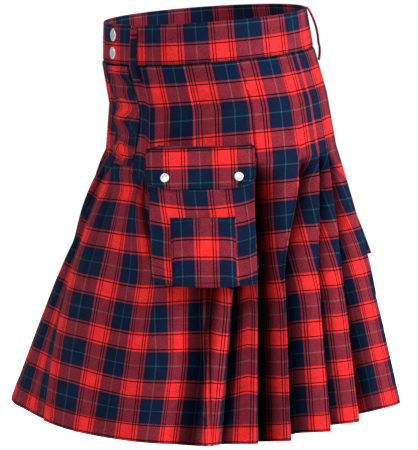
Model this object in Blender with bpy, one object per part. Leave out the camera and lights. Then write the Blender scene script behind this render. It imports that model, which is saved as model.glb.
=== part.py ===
import bpy
import bmesh
import math
import numpy as np
from mathutils import Matrix, Vector

# Lengths are millimetres in the tables and are turned to metres when a mesh is made.
# Directions round the body are degrees: 0 is the wearer's front, 90 the wearer's left, 180 the back.
METRE = 0.001

# Heights along the cloth, measured from the waist centre.
WAIST_SEAM = -32.0
HIP_HEIGHT = -175.0
HEM_HEIGHT = -559.0

# Walls and gaps.
CLOTH_WALL = 1.6
BAND_WALL = 3.0
SEAM_GAP = 0.3
SEAM_SETBACK = 0.3
CORNER_LIMIT = 1.6

# The waist sits lower in front: rise of the cut lines for each millimetre back and left.
TILT_BACK = 0.065
TILT_LEFT = 0.0575
TILT_END = -380.0

# Body form under the stitched top: height, half width, half depth, centre set back.
BODY_FORM = [
    (26.0, 168.0, 138.0, 1.0),
    (-3.0, 170.0, 141.5, 3.5),
    (-32.0, 171.5, 145.0, 6.5),
    (-100.0, 179.0, 148.5, 25.0),
    (-175.0, 190.0, 158.0, 30.0),
]

# Pleats on the wearer's left: name, fold edge at hip, half way and hem, hem radius of the edge,
# then the hidden fold behind it: direction at hip and hem, hem radius.
PLEATS = [
    ("z", 15.5, 52.0, 55.7, 277.0, 18.5, 57.8, 256.0),
    ("a", 42.5, 62.5, 59.2, 257.0, 45.5, 61.0, 244.0),
    ("b", 68.0, 71.2, 71.0, 269.0, 71.0, 72.0, 230.0),
    ("c", 90.0, 81.0, 81.8, 272.0, 93.0, 80.8, 222.0),
    ("d", 102.0, 97.7, 99.3, 261.0, 105.0, 99.3, 225.0),
    ("e", 110.5, 112.4, 116.0, 260.0, 113.5, 116.0, 228.0),
    ("f", 131.0, 139.0, 144.5, 296.0, 134.0, 143.0, 245.0),
    ("g", 152.0, 155.5, 158.0, 285.0, 155.0, 157.0, 240.0),
    ("h", 166.0, 169.5, 172.0, 285.0, 169.0, 174.0, 243.0),
]
CENTRE_BACK = ("centre", 180.0, 180.0, 180.0, 256.0)

# Left front panel before its first pleat: hip, half way, hem direction, hem radius.
LEFT_FRONT = [
    (-20.0, -30.0, -10.0, 253.5),
    (-15.5, -20.0, -3.8, 253.3),
    (-9.3, -9.7, 1.6, 253.0),
    (-3.0, 0.7, 7.1, 252.7),
    (7.0, 13.1, 15.3, 251.1),
    (9.5, 22.5, 24.5, 251.2),
    (11.5, 31.3, 33.2, 255.6),
    (13.0, 41.5, 41.3, 256.8),
    (14.3, 49.0, 46.6, 254.7),
]

# Right front panel from its edge under the left one: hip, half way, hem direction, hem radius, share under.
RIGHT_FRONT = [
    (2.0, -8.0, 4.0, 252.5, 1.0),
    (-6.0, -17.0, -2.0, 252.5, 1.0),
    (-13.0, -26.0, -8.0, 252.5, 1.0),
    (-19.0, -35.0, -15.0, 251.5, 0.9),
    (-22.5, -39.0, -23.0, 249.5, 0.45),
    (-25.5, -43.0, -31.5, 254.0, 0.1),
    (-28.0, -46.5, -40.0, 260.0, 0.0),
    (-30.0, -50.0, -48.0, 267.5, 0.0),
]
RIGHT_FIRST_PLEAT = ("z", 32.0, 54.5, 55.7, 277.0, 35.0, 57.8, 256.0)
UNDER_INSET = 3.4

# A line that flares less hangs lower at the hem in front: its drop for each millimetre short of a full flare,
# the power of the loose share, and where round the hem it fades out.
DROP_RATE = 0.165
DROP_RADIUS = 274.0
DROP_POWER = 1.5
DROP_FADE_FROM = 82.0
DROP_FADE_WIDTH = 10.0

# The hem swings out on the wearer's right front.
SWING_REACH = 32.0
SWING_MIDDLE = -40.0
SWING_WIDTH = 22.0

# Stations along one pleat: share of the stitched width, share of the loose curve at the hem.
FACE_STATIONS = [(0.0, 0.0), (0.3, 0.26), (0.6, 0.54), (0.85, 0.82), (1.0, 1.0)]
RETURN_STATIONS = [(0.34, 0.22), (0.67, 0.58), (1.0, 1.0)]

# How a face leaves the hidden fold and arrives at its edge: share of the straight way, share round the hem.
FACE_LEAVES = (0.45, 0.5)
FACE_ARRIVES = (0.3, 0.5)
RETURN_PULL = 0.75
STEP_HEIGHT = 2.4
AZIMUTH_SETTLES = 0.42
EDGE_POWER = 0.87
EDGE_POWER_FRONT = -0.05
HIDDEN_POWER = 0.6

# Height where the pleats are let go, by direction from the front.
RELEASE_LINE = [(0.0, -195.0), (12.0, -190.0), (40.0, -172.0), (110.0, -172.0), (140.0, -177.0), (180.0, -186.0)]

PANEL_HEIGHTS = [
    -32.5, -66.0, -100.0, -137.0, -175.0, -192.0, -212.0, -238.0, -270.0, -310.0, -360.0, -425.0, -490.0, -559.0,
]

# Waistband: directions of its outer and inner ends, and where it slips under itself.
BAND_START = -31.0
BAND_FINISH = 366.0
BAND_COLUMNS = 92
BAND_UNDER_FROM = 312.0
BAND_UNDER_TO = 326.0
BAND_INSET = 3.6
BAND_PROUD = 1.0
BAND_HEIGHTS = [26.0, -3.0, -32.0]

# Belt loops: direction, clear gap behind the loop, lift of the foot over the placket.
BELT_LOOPS = [(10.0, 2.6, 0.0), (140.0, 9.4, 0.0), (180.0, 9.4, 0.0), (-140.0, 9.4, 0.0), (-90.0, 9.4, 0.0)]
LOOP_WIDTH = 13.0
LOOP_WALL = 2.2
LOOP_TOP = 25.0
LOOP_FOOT = -55.0
LOOP_ROWS = 10
LOOP_BOW_POWER = 0.7
LOOP_LIFT_FROM = 0.55
LOOP_LIFT_OVER = 0.15

# Fly placket strip: height, direction of its free edge, direction of its sewn edge, lift of the free edge.
PLACKET_ROWS = [
    (-34.5, -20.0, 3.0, 1.0),
    (-58.0, -20.5, 4.0, 3.2),
    (-78.0, -18.5, 5.5, 1.2),
    (-100.0, -17.5, 6.5, 0.8),
    (-118.0, -20.0, 6.5, 3.4),
    (-138.0, -18.0, 5.5, 1.0),
    (-160.0, -19.0, 4.0, 1.0),
    (-184.0, -19.5, 0.0, 2.6),
]
PLACKET_COLUMNS = 6
PANEL_EDGE_DIRECTION = -19.9
PLACKET_WALL = 2.0

# Cargo pockets: side, direction that the face looks, its distance from the waist centre at top and
# bottom, shift of its middle to the back at top and bottom.
CARGO_PLACES = {
    "left": (1.0, 47.0, 166.0, 226.0, 17.4, 32.8),
    "right": (-1.0, 92.0, 197.0, 238.0, 37.0, 20.0),
}
CARGO_ROWS = [-150.0, -170.0, -190.0, -207.0, -226.0, -246.0, -268.0, -290.0, -314.0, -336.0]
CARGO_HALF_WIDTH = 75.5
CARGO_SHARES = [0.0, 0.07, 0.2, 0.36, 0.51, 0.66, 0.81, 0.93, 1.0]
CARGO_CURL = 7.0
CARGO_CURL_POWER = 3.0
CARGO_LEAST_DEPTH = 5.0
CARGO_SAG = 4.0
CARGO_GAP = 1.25
ON_PANEL_GAP = 0.85
BRIDGE_REACH = 4.0
BRIDGE_PLACES = 5
BRIDGE_WIDEST = 60.0
BRIDGE_NARROWEST = 0.01

# Pocket flap: last row of the cargo pocket that it covers, its wall, overhang at the sides,
# and how far its lower corners are cut up, in shares of the last row.
FLAP_LAST_ROW = 3
FLAP_WALL = 2.4
FLAP_GAP = 0.5
FLAP_OVERHANG = 1.6
FLAP_CORNERS = [0.6, 0.3, 0.0]

# How many lines of the neighbouring panels a pocket is laid over.
LINES_BEHIND_LEFT = 14
LINES_BEFORE_BACK = 8
LINES_BEHIND_RIGHT = 28

# Patch pocket: the rows and columns of the cargo pocket that it covers.
PATCH_FIRST_ROW = 5
PATCH_FIRST_COLUMN = 2
PATCH_LAST_COLUMN = 6
PATCH_DEPTH = 3.0
PATCH_BULGE = 2.0

# Back pocket: height, front edge, back edge, depth of its gusset.
BACK_EDGES = [(-182.0, 150.5, 176.0, 2.0), (-250.0, 150.0, 176.0, 3.5), (-338.0, 148.0, 176.0, 14.0)]
BACK_ROWS = [-182.0, -210.0, -245.0, -278.0, -310.0, -338.0]
BACK_SHARES = [0.0, 0.08, 0.3, 0.5, 0.7, 0.92, 1.0]
BACK_CURL = 0.12

# Snaps: direction and row place on the waistband, share across and row place on the flap.
WAIST_SNAPS = [("upper", -13.0, 0.53), ("lower", -13.0, 1.43)]
WAIST_SNAP_RADIUS = 8.6
FLAP_SNAPS = [("front", 0.17, 2.05), ("back", 0.86, 2.1)]
FLAP_SNAP_RADIUS = 6.3
SNAP_HEIGHT = 2.6
SNAP_SIDES = 20
SNAP_GAP = 0.3
SNAP_TANGENT_STEP = 0.4
SNAP_SEARCH_ROWS = (2.0, 41)
SNAP_SEARCH_COLUMNS = (4.0, 81)
SNAP_PROFILE = [(0.0, 0.0), (0.86, 0.0), (1.0, 0.35), (0.95, 0.7), (0.6, 0.95), (0.0, 1.0)]

# Colours as red, green, blue.
PLAID_RED = (0.62, 0.05, 0.045)
PLAID_DUSK = (0.2, 0.03, 0.06)
PLAID_NAVY = (0.02, 0.03, 0.09)
SNAP_METAL = (0.72, 0.72, 0.74)


def table_value(table, height, column):
    """Read a column of a table whose first column is a falling height."""
    heights = [row[0] for row in table][::-1]
    values = [row[column] for row in table][::-1]
    return float(np.interp(height, heights, values))


def smooth(share):
    """Ease a share from 0 to 1."""
    held = np.clip(share, 0.0, 1.0)
    return held * held * (3.0 - 2.0 * held)


def loose_share(height, direction):
    """Share of the way from the release line to the hem."""
    line = np.interp(abs(direction), [row[0] for row in RELEASE_LINE], [row[1] for row in RELEASE_LINE])
    return float(np.clip((line - height) / (line - HEM_HEIGHT), 0.0, 1.0))


def centre_back(height):
    """Distance of the section centre behind the waist centre."""
    if height >= HIP_HEIGHT:
        return table_value(BODY_FORM, height, 3)
    share = (HIP_HEIGHT - height) / (HIP_HEIGHT - HEM_HEIGHT)
    return BODY_FORM[-1][3] * (1.0 - share)


def body_radius(direction, height):
    """Radius of the body form about its section centre."""
    half_width = table_value(BODY_FORM, height, 1)
    half_depth = table_value(BODY_FORM, height, 2)
    angle = math.radians(direction)
    return 1.0 / math.hypot(math.sin(angle) / half_width, math.cos(angle) / half_depth)


def tilt(x, y, height):
    """Rise of the cut line at a place, fading out below the hip."""
    fade = np.clip((height - TILT_END) / (WAIST_SEAM - TILT_END), 0.0, 1.0)
    return (TILT_BACK * y + TILT_LEFT * x) * float(fade)


def place(direction, radius, height):
    """Point at a direction and radius about the section centre."""
    angle = math.radians(direction)
    x = radius * math.sin(angle)
    y = centre_back(height) - radius * math.cos(angle)
    return (x, y, height + tilt(x, y, height))


def swing(direction):
    """Extra reach of the hem on the wearer's right front."""
    return SWING_REACH * math.exp(-((direction - SWING_MIDDLE) / SWING_WIDTH) ** 2)


def plan_point(direction, radius):
    """Plan position at the hem."""
    angle = math.radians(direction)
    return np.array([radius * math.sin(angle), -radius * math.cos(angle)])


def curve_point(start, finish, start_pull, finish_pull, share):
    """Point on a smooth curve that leaves and arrives along the two pulls."""
    square = share * share
    cube = square * share
    return (
        start * (2.0 * cube - 3.0 * square + 1.0)
        + start_pull * (cube - 2.0 * square + share)
        + finish * (3.0 * square - 2.0 * cube)
        + finish_pull * (cube - square)
    )


def make_station(hip, middle, hem_point, lift, hidden, under):
    """One line of the cloth from waist to hem."""
    hem = math.degrees(math.atan2(hem_point[0], -hem_point[1]))
    return {
        "hip": hip,
        "middle": middle,
        "hem": hem,
        "radius": float(np.hypot(hem_point[0], hem_point[1])) + swing(hem),
        "lift": lift,
        "hidden": hidden,
        "under": under,
    }


def face_lines(hidden, edge):
    """Lines of a pleat face, from the hidden fold before it to its own edge."""
    _, edge_hip, edge_middle, edge_hem, edge_radius = edge[:5]
    start = plan_point(hidden[2], hidden[3])
    finish = plan_point(edge_hem, edge_radius)
    length = float(np.linalg.norm(finish - start))
    leaving = plan_point(hidden[2] + 90.0, 1.0)
    arriving = plan_point(edge_hem + 90.0, 1.0)
    start_pull = (finish - start) * FACE_LEAVES[0] + leaving * length * FACE_LEAVES[1]
    finish_pull = (finish - start) * FACE_ARRIVES[0] + arriving * length * FACE_ARRIVES[1]
    lines = []
    for stitched, loose in FACE_STATIONS:
        point = curve_point(start, finish, start_pull, finish_pull, loose)
        hip = hidden[0] + (edge_hip - hidden[0]) * stitched
        middle = hidden[1] + (edge_middle - hidden[1]) * loose
        lines.append(make_station(hip, middle, point, STEP_HEIGHT * stitched, 1.0 - smooth(loose), 0.0))
    return lines


def return_lines(pleat):
    """Lines from a fold edge back to the hidden fold behind it."""
    _, edge_hip, edge_middle, edge_hem, edge_radius, hide_hip, hide_hem, hide_radius = pleat
    start = plan_point(edge_hem, edge_radius)
    finish = plan_point(hide_hem, hide_radius)
    depth = float(np.linalg.norm(finish - start))
    along = plan_point(edge_hem + 90.0, 1.0)
    inward = (finish - start) / depth
    hide_middle = edge_middle + (hide_hem - edge_hem)
    lines = []
    for stitched, loose in RETURN_STATIONS:
        point = curve_point(start, finish, along * depth * RETURN_PULL, inward * depth, loose)
        hip = edge_hip + (hide_hip - edge_hip) * stitched
        middle = edge_middle + (hide_middle - edge_middle) * loose
        lift = STEP_HEIGHT * (1.0 - smooth(stitched))
        lines.append(make_station(hip, middle, point, lift, smooth(loose), 0.0))
    return lines


def hidden_fold(pleat):
    """Hip, half way, hem direction and hem radius of the fold behind a pleat."""
    middle = pleat[2] + (pleat[6] - pleat[3])
    return (pleat[5], middle, pleat[6], pleat[7])


def pleat_run(before, pleats):
    """Faces and returns of several pleats in a row."""
    lines = []
    fold = hidden_fold(before)
    for pleat in pleats:
        face = face_lines(fold, pleat)
        lines.extend(face if not lines else face[1:])
        lines.extend(return_lines(pleat))
        fold = hidden_fold(pleat)
    return lines


def front_lines(rows, pleat):
    """Lines of a front panel, from its centre edge to its first pleat."""
    lines = []
    for row in rows:
        under = row[4] if len(row) > 4 else 0.0
        lines.append(make_station(row[0], row[1], plan_point(row[2], row[3]), 0.0, 0.0, under))
    sign = -1.0 if rows[0][0] > rows[-1][0] else 1.0
    lines_end = []
    edge = make_station(pleat[1], pleat[2], plan_point(pleat[3], pleat[4]), STEP_HEIGHT, 0.0, 0.0)
    lines_end.append(edge)
    lines_end.extend(return_lines(pleat))
    if sign < 0.0:
        lines_end = [mirror_line(line) for line in lines_end]
    return lines + lines_end


def reflect_line(line):
    """The same line on the other side."""
    turned = dict(line)
    for name in ("hip", "middle", "hem"):
        turned[name] = -line[name]
    return turned


def mirror_line(line):
    """A left line made into a right one, with the swing of the hem there."""
    turned = reflect_line(line)
    turned["radius"] += swing(turned["hem"])
    return turned


def flare_power(direction):
    """Power of the flare below the release line; the front opens sooner than the back."""
    return EDGE_POWER + EDGE_POWER_FRONT * math.cos(math.radians(direction))


def line_polar(line, height):
    """Direction and radius of a line at a height, about the section centre."""
    hip_direction = line["hip"]
    if height >= HIP_HEIGHT:
        stitched = body_radius(hip_direction, height)
    else:
        stitched = body_radius(hip_direction, HIP_HEIGHT)
    stitched += line["lift"]
    share = loose_share(height, hip_direction)
    if share <= 0.0:
        return hip_direction, stitched - UNDER_INSET * line["under"]
    settled = smooth(share / AZIMUTH_SETTLES)
    late = np.clip((share - AZIMUTH_SETTLES) / (1.0 - AZIMUTH_SETTLES), 0.0, 1.0)
    direction = hip_direction + (line["middle"] - hip_direction) * settled
    direction += (line["hem"] - line["middle"]) * float(late)
    power = flare_power(line["hem"]) + HIDDEN_POWER * line["hidden"]
    radius = stitched + (line["radius"] - stitched) * share ** power
    return direction, radius - UNDER_INSET * line["under"]


def panel_polar(line, height):
    """Direction and radius of a line on the panel's own facets, between its two nearest rows."""
    below = next((index for index, level in enumerate(PANEL_HEIGHTS) if level <= height), len(PANEL_HEIGHTS) - 1)
    upper = PANEL_HEIGHTS[max(below - 1, 0)]
    lower = PANEL_HEIGHTS[max(below, 1)]
    share = (upper - height) / (upper - lower)
    upper_direction, upper_radius = line_polar(line, upper)
    lower_direction, lower_radius = line_polar(line, lower)
    direction = upper_direction + (lower_direction - upper_direction) * share
    return direction, upper_radius + (lower_radius - upper_radius) * share


def hem_drop(line, height):
    """How far a line hangs down beside a fully flared one."""
    share = loose_share(height, line["hip"])
    front = 1.0 - smooth((abs(line["hem"]) - DROP_FADE_FROM) / DROP_FADE_WIDTH)
    return DROP_RATE * max(DROP_RADIUS - line["radius"], 0.0) * float(front) * share ** DROP_POWER


def line_point(line, height):
    """Place of a line at a height."""
    direction, radius = line_polar(line, height)
    x, y, z = place(direction, radius, height)
    return (x, y, z - hem_drop(line, height))


def inner_row(row, wall):
    """Offset a row of outer points inwards by a wall."""
    points = np.array(row)
    plan = points[:, :2]
    steps = np.diff(plan, axis=0)
    lengths = np.maximum(np.linalg.norm(steps, axis=1), 1e-6)
    outward = np.stack([steps[:, 1], -steps[:, 0]], axis=1) / lengths[:, None]
    before = np.vstack([outward[:1], outward])
    after = np.vstack([outward, outward[-1:]])
    blend = before + after
    size = np.maximum(np.linalg.norm(blend, axis=1), 1e-6)
    blend = blend / size[:, None]
    reach = np.minimum(2.0 / size, CORNER_LIMIT)
    moved = points.copy()
    moved[:, :2] -= blend * (wall * reach)[:, None]
    return moved


def set_back_ends(row, distance):
    """Pull both ends of a row back along it."""
    points = np.array(row)
    for end, neighbour in ((0, 1), (-1, -2)):
        step = points[neighbour] - points[end]
        points[end] = points[end] + step / np.linalg.norm(step) * distance
    return points


def cloth_material(name, colour, roughness, metallic):
    """Plain surface for one node."""
    material = bpy.data.materials.new(name + "_surface")
    material.use_nodes = True
    shader = material.node_tree.nodes["Principled BSDF"]
    shader.inputs["Base Color"].default_value = (*colour, 1.0)
    shader.inputs["Roughness"].default_value = roughness
    shader.inputs["Metallic"].default_value = metallic
    return material


def wall_object(name, outer, inner, colour, roughness=0.9, metallic=0.0):
    """Closed solid between an outer and an inner grid of rows from top to bottom."""
    outer = np.array(outer) * METRE
    inner = np.array(inner) * METRE
    rows, columns = outer.shape[:2]
    count = rows * columns
    vertices = [tuple(point) for point in outer.reshape(-1, 3)]
    vertices += [tuple(point) for point in inner.reshape(-1, 3)]
    faces = []
    for row in range(rows - 1):
        for column in range(columns - 1):
            first = row * columns + column
            corner = [first, first + columns, first + columns + 1, first + 1]
            faces.append(corner)
            faces.append([count + index for index in reversed(corner)])
    for column in range(columns - 1):
        top = column
        low = (rows - 1) * columns + column
        faces.append([top, top + 1, count + top + 1, count + top])
        faces.append([low + 1, low, count + low, count + low + 1])
    for row in range(rows - 1):
        first = row * columns
        last = first + columns - 1
        faces.append([first + columns, first, count + first, count + first + columns])
        faces.append([last, last + columns, count + last + columns, count + last])
    mesh = bpy.data.meshes.new(name)
    mesh.from_pydata(vertices, [], faces)
    mesh.update()
    for polygon in mesh.polygons:
        polygon.use_smooth = True
    work = bmesh.new()
    work.from_mesh(mesh)
    bmesh.ops.triangulate(work, faces=work.faces[:], quad_method="BEAUTY")
    work.to_mesh(mesh)
    work.free()
    mesh.materials.append(cloth_material(name, colour, roughness, metallic))
    result = bpy.data.objects.new(name, mesh)
    bpy.context.scene.collection.objects.link(result)
    return result


def build_panel(name, lines, colour, centre_end=None):
    """Skirt panel through its lines, cut square where an end lies on the centre back seam."""
    outer = []
    inner = []
    for height in PANEL_HEIGHTS:
        row = set_back_ends([line_point(line, height) for line in lines], SEAM_SETBACK)
        under = inner_row(row, CLOTH_WALL)
        if centre_end is not None:
            under[centre_end] = row[centre_end] - np.array([0.0, CLOTH_WALL, 0.0])
        outer.append(row)
        inner.append(under)
    return wall_object(name, outer, inner, colour)


def band_radius(direction, height):
    """Outer radius of the waistband, slipping under its own front end."""
    under = smooth((direction - BAND_UNDER_FROM) / (BAND_UNDER_TO - BAND_UNDER_FROM))
    return body_radius(direction, height) + BAND_PROUD - BAND_INSET * float(under)


def build_waistband():
    """Waistband strip, its left end over its right end."""
    outer = []
    inner = []
    for height in BAND_HEIGHTS:
        row = []
        for direction in np.linspace(BAND_START, BAND_FINISH, BAND_COLUMNS):
            row.append(place(direction, band_radius(direction, height), height))
        outer.append(row)
        inner.append(inner_row(row, BAND_WALL))
    wall_object("waistband", outer, inner, PLAID_DUSK)
    return outer


def surface_radius(direction, height):
    """Outer radius of waistband or stitched cloth at a place near the waist."""
    if height >= WAIST_SEAM:
        return body_radius(direction, height) + BAND_PROUD
    return body_radius(direction, height) + STEP_HEIGHT


def build_belt_loop(name, direction, gap, foot_lift):
    """Bent strip from the waistband's top to just below its seam."""
    half_turn = math.degrees(0.5 * LOOP_WIDTH / body_radius(direction, 0.0))
    outer = []
    inner = []
    for row in range(LOOP_ROWS):
        share = row / (LOOP_ROWS - 1.0)
        height = LOOP_TOP + (LOOP_FOOT - LOOP_TOP) * share
        bulge = math.sin(math.pi * share) ** LOOP_BOW_POWER if 0.0 < share < 1.0 else 0.0
        back = SEAM_GAP + gap * bulge + foot_lift * float(smooth((share - LOOP_LIFT_FROM) / LOOP_LIFT_OVER))
        outer_row = []
        inner_points = []
        for column in range(3):
            across = direction + half_turn * (column - 1.0)
            base = surface_radius(across, height)
            outer_row.append(place(across, base + back + LOOP_WALL, height))
            inner_points.append(place(across, base + back, height))
        outer.append(outer_row)
        inner.append(inner_points)
    return wall_object(name, outer, inner, PLAID_RED)


def bridge_radius(direction, height, lines):
    """Radius of cloth stretched over the fold edges at a place."""
    polar = [panel_polar(line, height) for line in lines]
    best = 0.0
    for first, (low, low_radius) in enumerate(polar):
        if low > direction:
            continue
        for high, high_radius in polar[first + 1:]:
            if high < direction or not BRIDGE_NARROWEST <= high - low <= BRIDGE_WIDEST:
                continue
            opening = math.sin(math.radians(high - low))
            near = math.sin(math.radians(direction - low))
            far = math.sin(math.radians(high - direction))
            best = max(best, low_radius * high_radius * opening / (low_radius * near + high_radius * far))
    return best


def widest_bridge(direction, height, lines):
    """Largest bridged radius close to a direction, so that a slanting fold edge stays covered."""
    nearby = np.linspace(direction - BRIDGE_REACH, direction + BRIDGE_REACH, BRIDGE_PLACES)
    return max(bridge_radius(float(other), height, lines) for other in nearby)


def rounded(share, power=0.5):
    """Crown that is 0 at both edges and 1 in the middle: a parabola raised to a power."""
    return (4.0 * share * (1.0 - share)) ** power


def cargo_grid(lines, prefix):
    """Outer and inner rows of the cargo pocket: a nearly flat face over the panel's fold edges."""
    side, looks, top_distance, low_distance, top_shift, low_shift = CARGO_PLACES[prefix]
    facing = math.radians(looks)
    outer = []
    inner = []
    for height in CARGO_ROWS:
        down = (CARGO_ROWS[0] - height) / (CARGO_ROWS[0] - CARGO_ROWS[-1])
        distance = top_distance + (low_distance - top_distance) * down
        shift = top_shift + (low_shift - top_shift) * down
        outer_row = []
        inner_points = []
        for share in CARGO_SHARES:
            across = shift + CARGO_HALF_WIDTH * (2.0 * share - 1.0)
            curl = CARGO_CURL * abs(2.0 * share - 1.0) ** CARGO_CURL_POWER
            x = (distance - curl) * math.sin(facing) + across * math.cos(facing)
            y = -(distance - curl) * math.cos(facing) + across * math.sin(facing)
            level = height
            if height == CARGO_ROWS[-1]:
                level -= CARGO_SAG * rounded(share, 1.0)
            back = y - centre_back(level)
            direction = math.degrees(math.atan2(x, -back))
            bridge = widest_bridge(direction, level, lines) + CARGO_GAP
            radius = max(math.hypot(x, back), bridge + CARGO_LEAST_DEPTH)
            outer_row.append(place(side * direction, radius, level))
            inner_points.append(place(side * direction, bridge, level))
        if side < 0.0:
            outer_row.reverse()
            inner_points.reverse()
        outer.append(outer_row)
        inner.append(inner_points)
    return outer, inner


def flap_grid(pocket_outer):
    """Rows of the flap: the cargo pocket's upper points moved out."""
    covered = [list(row) for row in pocket_outer[:FLAP_LAST_ROW + 1]]
    count = len(covered[0])
    for index, cut in enumerate(FLAP_CORNERS):
        for column in (index, count - 1 - index):
            low = Vector(covered[-1][column])
            high = Vector(covered[-2][column])
            covered[-1][column] = tuple(low + (high - low) * cut)
    outer = []
    inner = []
    for row in covered:
        outer_row = []
        inner_points = []
        for point in row:
            away = Vector((point[0], point[1], 0.0)).normalized()
            inner_points.append(tuple(Vector(point) + away * FLAP_GAP))
            outer_row.append(tuple(Vector(point) + away * (FLAP_GAP + FLAP_WALL)))
        outer.append(outer_row)
        inner.append(inner_points)
    for grid in (outer, inner):
        for row in grid:
            start = Vector(row[0]) - Vector(row[1])
            finish = Vector(row[-1]) - Vector(row[-2])
            row.insert(0, tuple(Vector(row[0]) + start.normalized() * FLAP_OVERHANG))
            row.append(tuple(Vector(row[-1]) + finish.normalized() * FLAP_OVERHANG))
    return outer, inner


def patch_grid(pocket_outer, side):
    """Rows of the patch pocket: the cargo pocket's points moved out."""
    outer = []
    inner = []
    for row in pocket_outer[PATCH_FIRST_ROW:]:
        columns = row if side > 0.0 else row[::-1]
        covered = columns[PATCH_FIRST_COLUMN:PATCH_LAST_COLUMN + 1]
        outer_row = []
        inner_points = []
        for index, point in enumerate(covered):
            share = index / (len(covered) - 1.0)
            away = Vector((point[0], point[1], 0.0)).normalized()
            base = Vector(point) + away * SEAM_GAP
            inner_points.append(tuple(base))
            outer_row.append(tuple(base + away * (PATCH_DEPTH + PATCH_BULGE * rounded(share))))
        if side < 0.0:
            outer_row.reverse()
            inner_points.reverse()
        outer.append(outer_row)
        inner.append(inner_points)
    return outer, inner


def build_pocket_set(prefix, lines):
    """Cargo pocket, flap, patch pocket and flap snaps of one side."""
    side = CARGO_PLACES[prefix][0]
    pocket_outer, pocket_inner = cargo_grid(lines, prefix)
    wall_object(prefix + "_cargo_pocket", pocket_outer, pocket_inner, PLAID_RED)
    flap_outer, flap_inner = flap_grid(pocket_outer)
    wall_object(prefix + "_pocket_flap", flap_outer, flap_inner, PLAID_RED)
    outer, inner = patch_grid(pocket_outer, side)
    wall_object(prefix + "_patch_pocket", outer, inner, PLAID_NAVY)

    for name, column_share, row_place in FLAP_SNAPS:
        column = 1.0 + float(np.interp(column_share, CARGO_SHARES, range(len(CARGO_SHARES))))
        if side < 0.0:
            column = len(CARGO_SHARES) + 1.0 - column
        build_snap(prefix + "_flap_snap_" + name, flap_outer, row_place, column, FLAP_SNAP_RADIUS)


def build_back_pocket(name, side, lines):
    """Patch pocket with a gusset on a back panel, its face over the panel's fold edges."""
    outer = []
    inner = []
    for height in BACK_ROWS:
        front = table_value(BACK_EDGES, height, 1)
        back = table_value(BACK_EDGES, height, 2)
        depth = table_value(BACK_EDGES, height, 3)
        outer_row = []
        inner_points = []
        for share in BACK_SHARES:
            direction = front + (back - front) * share
            base = widest_bridge(direction, height, lines) + ON_PANEL_GAP
            rise = depth * (1.0 - BACK_CURL * (1.0 - rounded(share)))
            outer_row.append(place(side * direction, base + rise, height))
            inner_points.append(place(side * direction, base, height))
        if side < 0.0:
            outer_row.reverse()
            inner_points.reverse()
        outer.append(outer_row)
        inner.append(inner_points)
    return wall_object(name, outer, inner, PLAID_RED)


def grid_point(grid, row, column):
    """Point between the points of a grid."""
    low_row = min(int(row), len(grid) - 2)
    low_column = min(int(column), len(grid[0]) - 2)
    down = row - low_row
    across = column - low_column
    corners = [np.array(grid[low_row + i][low_column + j]) for i in (0, 1) for j in (0, 1)]
    upper = corners[0] * (1.0 - across) + corners[1] * across
    lower = corners[2] * (1.0 - across) + corners[3] * across
    return upper * (1.0 - down) + lower * down


def snap_seat(grid, row, column, size):
    """Centre and directions of a snap that clears all cloth under it."""
    centre = grid_point(grid, row, column)
    step = SNAP_TANGENT_STEP
    along = Vector(grid_point(grid, row, column + step) - grid_point(grid, row, column - step)).normalized()
    upward = Vector(grid_point(grid, row - step, column) - grid_point(grid, row + step, column)).normalized()
    out = along.cross(upward).normalized()
    upward = out.cross(along).normalized()
    lift = 0.0
    row_reach, row_places = SNAP_SEARCH_ROWS
    column_reach, column_places = SNAP_SEARCH_COLUMNS
    for row_step in np.linspace(-row_reach, row_reach, row_places):
        for column_step in np.linspace(-column_reach, column_reach, column_places):
            other_row = min(max(row + row_step, 0.0), len(grid) - 1.0)
            other_column = min(max(column + column_step, 0.0), len(grid[0]) - 1.0)
            offset = Vector(grid_point(grid, other_row, other_column) - centre)
            rise = offset.dot(out)
            if (offset - out * rise).length <= size:
                lift = max(lift, rise)
    return Vector(centre) + out * (lift + SNAP_GAP), along, upward, out


def build_snap(name, grid, row, column, size):
    """Domed metal snap lying on the cloth."""
    work = bmesh.new()
    rings = []
    for reach, rise in SNAP_PROFILE:
        height = rise * SNAP_HEIGHT * METRE
        if reach == 0.0:
            rings.append([work.verts.new((0.0, 0.0, height))])
            continue
        ring = []
        for step in range(SNAP_SIDES):
            angle = 2.0 * math.pi * step / SNAP_SIDES
            across = size * reach * METRE
            ring.append(work.verts.new((across * math.cos(angle), across * math.sin(angle), height)))
        rings.append(ring)
    for lower, upper in zip(rings, rings[1:]):
        for step in range(SNAP_SIDES):
            following = (step + 1) % SNAP_SIDES
            if len(lower) == 1:
                work.faces.new((lower[0], upper[following], upper[step]))
            elif len(upper) == 1:
                work.faces.new((lower[step], lower[following], upper[0]))
            else:
                work.faces.new((lower[step], lower[following], upper[following], upper[step]))
    mesh = bpy.data.meshes.new(name)
    work.to_mesh(mesh)
    work.free()
    for polygon in mesh.polygons:
        polygon.use_smooth = True
    mesh.materials.append(cloth_material(name, SNAP_METAL, 0.3, 1.0))
    result = bpy.data.objects.new(name, mesh)
    bpy.context.scene.collection.objects.link(result)
    centre, along, upward, out = snap_seat(grid, row, column, size)
    turn = Matrix((along, upward, out)).transposed().to_4x4()
    result.matrix_world = Matrix.Translation(centre * METRE) @ turn
    return result


def build_placket():
    """Placket strip with its creased free edge."""
    outer = []
    inner = []
    for height, free_edge, sewn_edge, lift in PLACKET_ROWS:
        outer_row = []
        inner_points = []
        for column in range(PLACKET_COLUMNS):
            share = column / (PLACKET_COLUMNS - 1.0)
            direction = free_edge + (sewn_edge - free_edge) * share
            base = line_surface(direction, height) + ON_PANEL_GAP + lift * (1.0 - share) ** 2
            outer_row.append(place(direction, base + PLACKET_WALL, height))
            inner_points.append(place(direction, base, height))
        outer.append(outer_row)
        inner.append(inner_points)
    return wall_object("fly_placket", outer, inner, PLAID_RED)


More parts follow.
